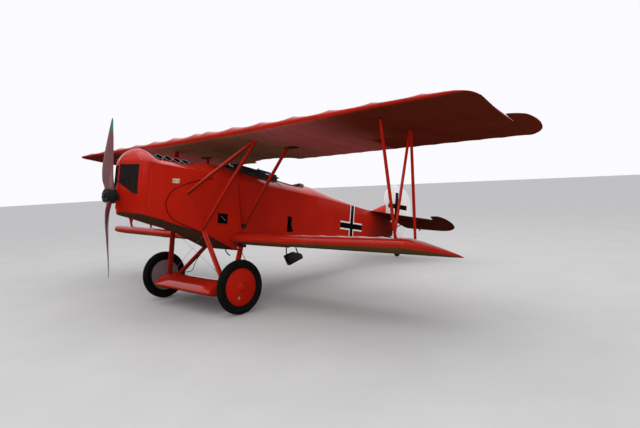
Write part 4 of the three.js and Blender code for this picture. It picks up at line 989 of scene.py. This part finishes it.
def cockpit_rim():
    """A sewn leather roll round the cockpit's opening, pinched by its lacing."""
    half_width, half_length = COCKPIT["half_width"], COCKPIT["half_length"]
    steps, laces = 168, 28
    c, s = circle(14)
    rings = []
    for i in range(steps):
        turn = 2 * pi * i / steps
        x, y = (half_width - 0.002) * cos(turn), COCKPIT["y"] + (half_length - 0.002) * sin(turn)
        out = np.array([cos(turn) * half_length, sin(turn) * half_width, 0])
        out /= np.linalg.norm(out)
        pinch = 1 - 0.10 * max(0, cos(laces * turn)) ** 8
        behind = min(1, max(0, (sin(turn) - 0.35) / 0.4))
        thick = (COCKPIT["thin_roll"] + (COCKPIT["roll"] - COCKPIT["thin_roll"]) * behind) * pinch
        centre = np.array([x, y, top_height(x, y) + 0.5 * thick])
        rings.append(centre + thick * (np.outer(c, out) + np.outer(s, [0, 0, 1.0])))
    made = piece("cockpit_rim_roll", lofted(rings, looped=True), "leather", instead=["cockpit_rim"], angle=70)


def deck_edge():
    """Low curved edge moulding between the deck and the cockpit."""
    path = arch(2.562, turns=np.linspace(0.15, pi - 0.15, 25))
    piece("deck_edge", tube([(x, y, z + 0.002) for x, y, z in path], 0.005, 8), "red_metal")


def rear_body():
    """Fabric over the rear frame: flat sides under the turtledeck's curve."""
    rings = []
    for y in body_stations(*REAR_BODY, 0.05):
        width, low, crease = (straight(table, y) for table in (HALF_WIDTH, BELLY, CREASE))
        edge = min(0.012, width * 0.3)
        side = [(width, y, low + edge + (crease - low - edge) * t) for t in (0, 0.33, 0.66)]
        other = [(-width, y, z) for _, _, z in side[::-1]]
        rings.append([(-width + edge, y, low), (width - edge, y, low)] + side + arch(y) + other)
    made = piece("rear_body_skin", lofted(rings), "red_body_fabric", instead=["rear_body"])
    hinge = (TAILPLANE["y"], TAILPLANE["z"])
    cut(made, rod((-0.2, *hinge), (0.2, *hinge), 0.021, 20))
    cut(made, box(0, hinge[0] + 0.1, hinge[1] + 0.03, (0.6, 0.2, 0.15)))


# Nose

def front_at(x):
    return straight(NOSE_PLAN, abs(x))


def nose_half_width(y):
    return straight([(back, half) for half, back in NOSE_PLAN], y)


def side_of_nose(y, z):
    """Half width at a place back and up: the front falls back below the radiators."""
    share = min(1, max(0, (0.12 - z) / 0.30))
    return nose_half_width(y - 0.06 * share * share * (3 - 2 * share))


def radiator_outline(shrink=0.0):
    r = RADIATOR
    inner, outer = r["inner"] + shrink, r["outer"] - shrink
    low, top = r["outer_bottom"] + shrink, r["top"] - shrink
    return [(inner, r["inner_bottom"] + shrink), (outer - r["flat"], low), (outer - 0.012, low),
            (outer, low + 0.012), (outer, top), (inner, top)]


def behind_front(outline, first, last):
    """A slab that follows the bowed front between two depths."""
    return lofted([[(x, front_at(x) + depth, z) for x, z in outline] for depth in (first, last)])


def nose_cowl():
    """The bow-fronted nose with its dome and rounded chin, cut by the two radiator openings."""
    rings = []
    for y in NOSE_PLACES:
        low, top = curved(NOSE_BOTTOM, y), curved(NOSE_DOME, y, 2)
        at_floor = side_of_nose(y, low)
        edge = min(0.085 - 0.345 * (y - 0.07), at_floor * 0.5)
        chin = [(at_floor - edge * (1 - cos(a)), y, low + edge * (1 - sin(a)))
                for a in np.radians([90, 65, 40, 18])]
        heights = low + edge + (NOSE_CREASE - low - edge) * np.linspace(0, 1, 7)[:-1] ** 1.4
        right = chin + [(max(side_of_nose(y, z), 0.001), y, z) for z in heights]
        left = [(-x, y, z) for x, _, z in right[::-1]]
        over = crown(nose_half_width(y), y, NOSE_CREASE, top - NOSE_CREASE, NOSE_FULLNESS)
        rings.append(left + right + over)
    made = piece("nose_cowl_skin", lofted(rings), "nose_red", instead=["nose_cowl"])
    pocket = behind_front(radiator_outline(), -0.08, RADIATOR["depth"])
    cut(made, pocket)
    cut(made, flipped(pocket))


def radiators():
    """Cores of upright water tubes and thin level fins, set back in the openings."""
    r = RADIATOR
    floor = [(r["inner"], r["inner_bottom"]), (r["outer"] - r["flat"], r["outer_bottom"])]
    parts = [behind_front(radiator_outline(0.0006), r["recess"], r["depth"] - 0.0006)]
    for x in np.linspace(r["inner"] + 0.008, r["outer"] - 0.008, r["tubes"]):
        deep = front_at(x) + r["recess"] - 0.005
        foot = (x, deep, straight(floor, x) + 0.004)
        parts.append(bar(foot, (x, deep, r["top"] - 0.004), 0.014, 0.004, count=8))
    for z in np.arange(0.06, r["top"] - 0.006, r["fin_pitch"]):
        start = r["inner"] + 0.004
        if z < r["inner_bottom"]:
            start = np.interp(z, [floor[1][1], floor[0][1]], [floor[1][0], floor[0][0]]) + 0.008
        level = np.linspace(start, r["outer"] - 0.004, 7)
        parts.append(tube([(x, front_at(x) + r["recess"] - 0.002, z) for x in level], 0.0016, 6))
    pair("radiator", joined(parts), "grille", instead="radiator_core")


# Tail

def tilted(shape, extra=0.0):
    """Turns a shape about the elevator's hinge by the tailplane's tilt and an extra angle."""
    turn = radians(TAILPLANE["tilt"] + extra)
    return rolled(shape[0], 1, turn, (TAILPLANE["y"], TAILPLANE["z"])), shape[1]


def thin_ring(x, lead, trail, half, blunt=False):
    """A thin rounded section; the back is blunt in front of a hinge."""
    nose = 0.3
    s = np.linspace(0, 1, 12)
    bow = np.sqrt(np.clip(1 - (1 - s / nose) ** 2, 0, 1))
    bow[s > nose] = 1 if blunt else 1 - ((s[s > nose] - nose) / (1 - nose)) ** 1.4 * 0.9
    ys = lead + (trail - lead) * s
    top = [(x, y, half * b) for y, b in zip(ys, bow)]
    return top + [(x, y, -z) for x, y, z in top[:0:-1]]


def tailplane():
    rings = []
    for x in stations(0, 1.062, [0.12, 0.56, 1.0], 0.05):
        half = 0.015 - 0.006 * max(0, x - 1.0) / 0.062
        rings.append(thin_ring(x, straight(TAILPLANE_ROWS, x), -0.020, half, True))
    piece("tailplane_skin", tilted(lofted(across(rings))), "maroon", instead=["tailplane"], angle=35)


def elevator():
    """Both halves on one tube, with the pointed balances and the control masts."""
    rings = []
    known = column_of(ELEVATOR_ROWS + ELEVATOR_TIP) + [1.41, 1.425, 1.446]
    for x in stations(0.075, 1.452, known, 0.06):
        rows, along = (ELEVATOR_ROWS, straight) if x < ELEVATOR_TIP[0][0] else (ELEVATOR_TIP, curved)
        half = 0.014 * min(1, max(0.2, (1.5 - x) / 0.25))
        rings.append(thin_ring(x, along(rows, x, 1), along(rows, x, 2), half))
    shape = joined([both([lofted(rings)]), rod((-1.08, 0, 0), (1.08, 0, 0), 0.014, 16)])
    droop = TAILPLANE["droop"]
    piece("elevator_skin", tilted(shape, droop), "maroon", body="elevator", instead=["elevator"], angle=35)
    for name, mast, finish in (("low", LOW_MAST, "maroon"), ("high", HIGH_MAST, "white_paint")):
        shape = both([lofted([[(x, u + 0.026, v) for u, v in mast] for x in MAST_OUT])])
        piece(f"elevator_masts_{name}", tilted(shape, droop), finish, body="elevator")


def rudder():
    y, low = RUDDER["y"], RUDDER["low"]
    outline = [(y, low), (y, 0.686), RUDDER_CURVES[0][0]]
    for curve in RUDDER_CURVES:
        outline += [tuple(p) for p in bezier(*curve)[1:]]
    shape = joined([pillow(outline, RUDDER["half"], 0.006), rod((0, y, low), (0, y, 0.66), 0.0145, 16)])
    piece("rudder_skin", shape, "white_fabric", body="rudder", instead=["rudder"], angle=50)


def fin():
    piece("fin_skin", pillow(FIN, 0.011, 0.005), "fin_paint", instead=["fin"], angle=50)


def tail_cables():
    """The elevator's cables on both sides, and the pin over the tail spring."""
    cable = tube([(0.10, 5.35, 0.16), (0.46, 5.80, 0.20), (0.80, 6.10, 0.10)], 0.0013, 6)
    pin = tube([(0.0, 6.18, -0.09), (0.0, 6.2, -0.09)], 0.004, 6)
    piece("tail_control_cables", joined([pin, both([cable])]), "black_metal")


# Struts and undercarriage

def lug(x, y, z, size=0.05):
    """A small flat lug with a bolt head where a strut meets a skin."""
    return joined([box(x, y, z, (size * 0.5, size, size * 0.5)),
                   rod((x - size * 0.4, y, z), (x + size * 0.4, y, z), 0.008)])


def struts():
    bars = [bar((STRUT_X, y0, z0), (STRUT_X, y1, z1), *sizes) for y0, z0, y1, z1, *sizes in STRUTS]
    pair("interplane_struts", joined(bars), "red_metal", instead="interplane_strut")
    pair("interplane_fittings", joined([lug(STRUT_X, y, z) for y, z in STRUT_FITTINGS]), "black_metal")
    front = joined([bar(foot, CABANE_FRONT_TOP, *CABANE_SIZE) for foot in CABANE_FRONT_FEET])
    pair("cabane_front_struts", front, "red_metal", instead="cabane_front")
    rear = bar(CABANE_REAR_FOOT, CABANE_REAR_TOP, *CABANE_SIZE)
    pair("cabane_rear_strut", rear, "red_metal", instead="cabane_rear")
    fittings = [lug(0.425, 0.852, 0.143, 0.04), lug(0.425, 1.140, -0.31, 0.04),
                rod((0.421, 1.838, -0.222), (0.452, 1.838, -0.222), 0.034, 20),
                box(0.415, 1.80, -0.50, (0.05, 0.04, 0.11)), box(0.42, 1.885, -0.52, (0.03, 0.05, 0.04)),
                lug(0.985, 1.474, 0.925), lug(0.985, 2.064, 0.915)]
    pair("cabane_fittings", joined(fittings), "black_metal")
    pair("leg_bolt", rod((0.42, 1.748, -0.549), (0.445, 1.748, -0.549), 0.016, 16), "steel")
    legs = [bar(top, foot, *LEG_SIZE) for top, foot in LEGS]
    legs.append(box(0.70, 1.4385, -1.028, (0.040, 0.237, 0.050)))
    pair("gear_leg_pair", joined(legs), "red_metal", instead="gear_legs")


def pulley_slots():
    """A dark oval plate behind each rear centre strut, under the upper wing."""
    rings = []
    for size, lift in ((1.0, 0.003), (1.0, -0.003), (0.9, -0.005)):
        oval = [(1.07 + 0.13 * size * c, 2.09 + 0.075 * size * s) for c, s in zip(*circle(28))]
        rings.append([(x, y, surface(UPPER, x, [y], False)[0] + lift) for x, y in oval])
    piece("pulley_slots", both([lofted(rings)]), "maroon", slot="black_metal")


def axle_fairing():
    section, middle = eased(AXLE_WING), np.array([1.42, -1.11])
    ends = [(1, 0.93), (0.994, 0.985), (0.98, 1), (0.5, 1), (0, 1)]
    rings = []
    for x, share in [(-x, share) for x, share in ends[:-1]] + ends[::-1]:
        rings.append([(x * AXLE_WING_HALF_SPAN, y, z) for y, z in middle + (section - middle) * share])
    piece("axle_fairing_skin", lofted(rings), "fairing_red", instead=["axle_wing"], angle=45)


def wheels():
    """Covers with a boss, red outside and linen inside, tyres, valve holes and a ring of rivets."""
    x, rim = WHEEL["half_track"], WHEEL["rim"]
    cover = WHEEL_COVER + [(r, -out) for r, out in WHEEL_COVER[::-1]]
    made = pair("wheel_cover", turned(cover, x, *AXLE, 72), ["wheel_red", "linen", "black_metal"],
                body="wheel", instead="wheel", angle=30)
    for side, wheel in made:
        hub = Vector(place([[x * side, *AXLE]])[0])
        # On the inner side, faces outside the linen's radius are black: painted shade round the rim.
        for face in wheel.data.polygons:
            if face.normal.x * side < -0.3:
                away = face.center - hub
                face.material_index = 2 if hypot(away.y, away.z) > LINEN_RADIUS else 1
    small, inner = WHEEL["tyre"], rim + 0.0003
    centre = WHEEL["radius"] - small
    section = [(max(inner, centre + small * cos(t)), small * sin(t))
               for t in np.radians(np.arange(-130, 131, 10))]
    tyre = turned([(inner, -0.030)] + section + [(inner, 0.030)], x, *AXLE, 96)
    pair("tyre_casing", tyre, "tyre_rubber", body="wheel", instead="tyre", angle=50)
    valve = (AXLE[0] - 0.039, AXLE[1] - 0.144)
    pair("valve_hole", rod((x + 0.03, *valve), (x + 0.049, *valve), 0.020, 16), "steel", body="wheel")
    spots = [(AXLE[0] + (rim - 0.012) * c, AXLE[1] + (rim - 0.012) * s) for c, s in zip(*circle(36))]
    rivets = [rod((x + 0.022, *spot), (x + 0.0305, *spot), 0.0028, 8) for spot in spots]
    pair("cover_rivets", joined(rivets), "red_metal", body="wheel")


def axle_ends():
    """Hub caps on the axle's ends and the rubber cord binding at each leg foot."""
    cap = [(0.0, 0), (0.028, 0), (0.036, -0.006), (0.036, -0.007), (0.0, -0.007)]
    pair("axle_cap", turned(cap, WHEEL["half_track"] + 0.076, *AXLE, 24), "wheel_red")
    wrap = [(0.026, -0.006), (0.036, -0.004), (0.038, 0), (0.036, 0.004), (0.026, 0.006)]
    pair("axle_binding", joined([turned(wrap, 0.735 + 0.008 * i, *AXLE, 24) for i in range(7)]), "leather")


def undercarriage_details():
    """Crossed bracing wires between the legs, with turnbuckles, brake hoses and the drain pipe."""
    low, high = np.array([0.69, 1.40, -1.005]), np.array([-0.40, 1.20, -0.375])
    turnbuckle = [low + (high - low) * t for t in (0.16, 0.23)]
    piece("gear_bracing", both([tube([low, high], 0.0018, 8), tube(turnbuckle, 0.004, 10)]), "dull_steel")
    piece("brake_lines", both([tube(eased(BRAKE_LINE), 0.005, 10)]), "black_metal")
    piece("drain_pipe", tube(DRAIN_PIPE, 0.009, 10), "black_metal")


# Propeller

def blade_ring(radius, side):
    """A blade's section at a radius, flatter behind than in front."""
    chord, thickness, pitch, ahead, forward = (curved(BLADE, radius, column) for column in (1, 2, 3, 4, 5))
    turn = radians(pitch)
    ring = []
    for c, s in zip(*circle(28)):
        along = 0.5 * c * chord - ahead
        up = (0.6 if s > 0 else 0.35) * s * (1 - 0.25 * c ** 2) * thickness
        ring.append((side * (along * cos(turn) + up * sin(turn)),
                     along * sin(turn) - up * cos(turn) - forward, side * radius))
    return ring


def spun(shape):
    """Turns a shape of the propeller to where it stopped."""
    return rolled(shape[0], 0, -PROPELLER_TURN), shape[1]


def propeller():
    inner = np.concatenate([np.linspace(0, 0.33, 14), np.linspace(0.36, GREEN_TIP_RADIUS, 18)])
    outer = np.concatenate([[GREEN_TIP_RADIUS], np.linspace(0.89, 1.048, 12)])
    wood, tips = (joined([lofted([blade_ring(r, side) for r in radii]) for side in (1, -1)])
                  for radii in (inner, outer))
    piece("propeller_wood", spun(wood), "laminated_wood", body="propeller", instead=["propeller"], angle=45)
    piece("propeller_tips", spun(tips), "green_tip", body="propeller", angle=45)
    hub = [turned_back(profile, 0, 0, count) for profile, count in
           ((FRONT_PLATE, 40), (REAR_PLATE, 40), (NUT, 24), (SHAFT, 24), (BOSS, 40))]
    for turn in np.arange(8) * pi / 4 + 0.2:
        x, z = BOLT_CIRCLE * cos(turn), BOLT_CIRCLE * sin(turn)
        hub += [turned_back(BOLT, x, z, 6), rod((x, 0.052, z), (x, 0.06, z), 0.009, 6)]
    piece("propeller_hub", spun(joined(hub)), "black_metal", body="propeller", slot="laminated_wood",
          angle=35)


# Guns

def gun_shapes(x, side):
    """Black body, hollows and bright fittings of one gun, level at first."""
    y, z, radius = GUN["start"], GUN["z"], GUN["jacket"]
    end = y + GUN["jacket_length"]
    jacket = [(0.0, y), (radius - 0.004, y), (radius, y + 0.008), (radius, end), (0.0, end)]
    muzzle = [(0.0, y - 0.08), (0.012, y - 0.08), (0.019, y - 0.07), (0.019, y - 0.035), (0.014, y - 0.024),
              (0.018, y + 0.001), (0.0, y + 0.001)]
    body = [turned_back(jacket, x, z, 28), turned_back(muzzle, x, z, 20),
            rod((x, end + 0.44, z), (x, end + 0.51, z - 0.005), 0.012, 10)]
    body += [box(x + side * out, end + back, z + up, size) for out, back, up, size in GUN_BLOCKS]
    hollows = []
    for row in range(GUN["hole_rows"]):
        turn = 2 * pi * row / GUN["hole_rows"] + 0.2
        out, up = radius * 0.985 * cos(turn), radius * 0.985 * sin(turn)
        first = y + 0.04 + (GUN["hole_pitch"] / 2 if row % 2 else 0)
        for back in np.arange(first, end - 0.02, GUN["hole_pitch"]):
            hollows.append(box(x + out, back, z + up, GUN["hole"]))
    bright = [rod((x - 0.02, end + 0.025, z + 0.024), (x + 0.02, end + 0.025, z + 0.024), 0.006, 10),
              rod((x, y - 0.081, z), (x, y - 0.05, z), 0.013, 12),
              box(x + side * 0.042, end + 0.23, z - 0.002, (0.008, 0.09, 0.016)),
              rod((x + side * 0.03, end + 0.31, z - 0.02), (x + side * 0.065, end + 0.31, z - 0.02), 0.007,
                  12)]
    return body, hollows, bright


def guns():
    """Twin guns on trays, nosed up a little: pierced jackets, muzzle boosters and square receivers."""
    for side, hand in ((1, "left"), (-1, "right")):
        nosed_up = []
        for shapes in gun_shapes(GUN["reach"] * side, side):
            points, faces = joined(shapes)
            points[:, 2] += GUN["slope"] * (points[:, 1] - GUN["level_at"])
            nosed_up.append((points, faces))
        piece(f"gun_body_{hand}", nosed_up[0], "black_metal", instead=[f"gun_{hand}"], angle=35)
        # Black blocks in the jacket's holes are painted shade.
        piece(f"gun_slots_{hand}", nosed_up[1], "dark_hollow")
        piece(f"gun_fittings_{hand}", nosed_up[2], "steel")


# Small fittings on the skins

def rivet_lines():
    """A row of round heads on each side of the nose."""
    y = 0.318
    x = straight(HALF_WIDTH, y) - 0.0006
    heads = [rod((x, y, z), (x + 0.0028, y, z), 0.0055, 8) for z in np.arange(-0.1, 0.4, 0.036)]
    piece("rivets", both(heads), "rivet_red")


def on_side(outline, high=0.004):
    """A flat shape standing off the body's side."""
    return lofted([[(SIDE_X + out, y, z) for y, z in outline] for out in (-0.001, high)])


def side_fittings():
    """Hatch with its dark mouth, foot slot, latch plate, louvre lines and seam strips on each side."""
    (y0, y1), (z0, z1) = HATCH["y"], HATCH["z"]
    mouth = on_side([(y0, z0), (y1, z0), (y1, z1), (y0, z1)])
    stay = rod((SIDE_X + 0.005, y0 + 0.055, z1 - 0.035), (SIDE_X + 0.005, y1 - 0.04, z0 + 0.045), 0.006, 10)
    screws = [rod((SIDE_X, *spot), (SIDE_X + 0.007, *spot), 0.008, 12) for spot in LATCH_SCREWS]
    frames = [box(SIDE_X + 0.003, y0 - 0.011, (z0 + z1) / 2, (0.014, 0.022, z1 - z0 + 0.03)),
              box(SIDE_X + 0.003, (y0 + y1) / 2, z0 - 0.009, (0.014, y1 - y0 + 0.02, 0.018))]
    frames += [box(SIDE_X + 0.002, y, 0.03, (0.006, 0.006, 0.135)) for y in LOUVRES]
    # The hatch's mouth and the foot slot are flat black plates: painted shade in the openings.
    piece("side_hollows", both([mouth, on_side(FOOT_SLOT, 0.0045)]), "dark_hollow")
    piece("side_latches", both([stay] + screws), "dull_steel")
    piece("side_latch_plates", both([on_side(LATCH)]), "brass_plate")
    piece("side_frames", both(frames), "red_metal")
    curve = tube([(SIDE_X, y, z) for y, z in eased(SIDE_CURVE, 3)], 0.0052, 8)
    upright = tube([(SIDE_X, 1.677, 0.40), (SIDE_X, 1.822, -0.30)], 0.0042, 8)
    piece("side_curve_seam", both([curve, upright]), "seam")


def boarding_step():
    points, faces = pillow(STEP, 0.046, 0.008)
    stems = [tube(path, 0.010, 12) for path in STEP_STEMS]
    piece("step_frame", joined([(points + np.array([STEP_X, 0, 0]), faces)] + stems), "black_metal",
          instead=["boarding_step"], angle=50)


def finish_plain_nodes():
    """Gives every carried-over solid its finish, with softened edges."""
    for finish, names in PLAIN_NODES.items():
        for name in names:
            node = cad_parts[name]
            node.data.materials.clear()
            node.data.materials.append(M[finish])
            if name not in SHARP_NODES:
                soft = node.modifiers.new("soft_edges", "BEVEL")
                soft.width = 0.0015
                soft.segments = 2
                soft.limit_method = "ANGLE"


for make in (make_materials, make_camera, make_stage, finish_plain_nodes, upper_wing, ailerons, lower_wing,
             nose_cowl, radiators, tops, exhaust_ports, cockpit_rim, deck_edge, rear_body, tailplane,
             elevator, rudder, fin, tail_cables, struts, pulley_slots, axle_fairing, wheels, axle_ends,
             undercarriage_details, propeller, guns, rivet_lines, side_fittings, boarding_step):
    make()
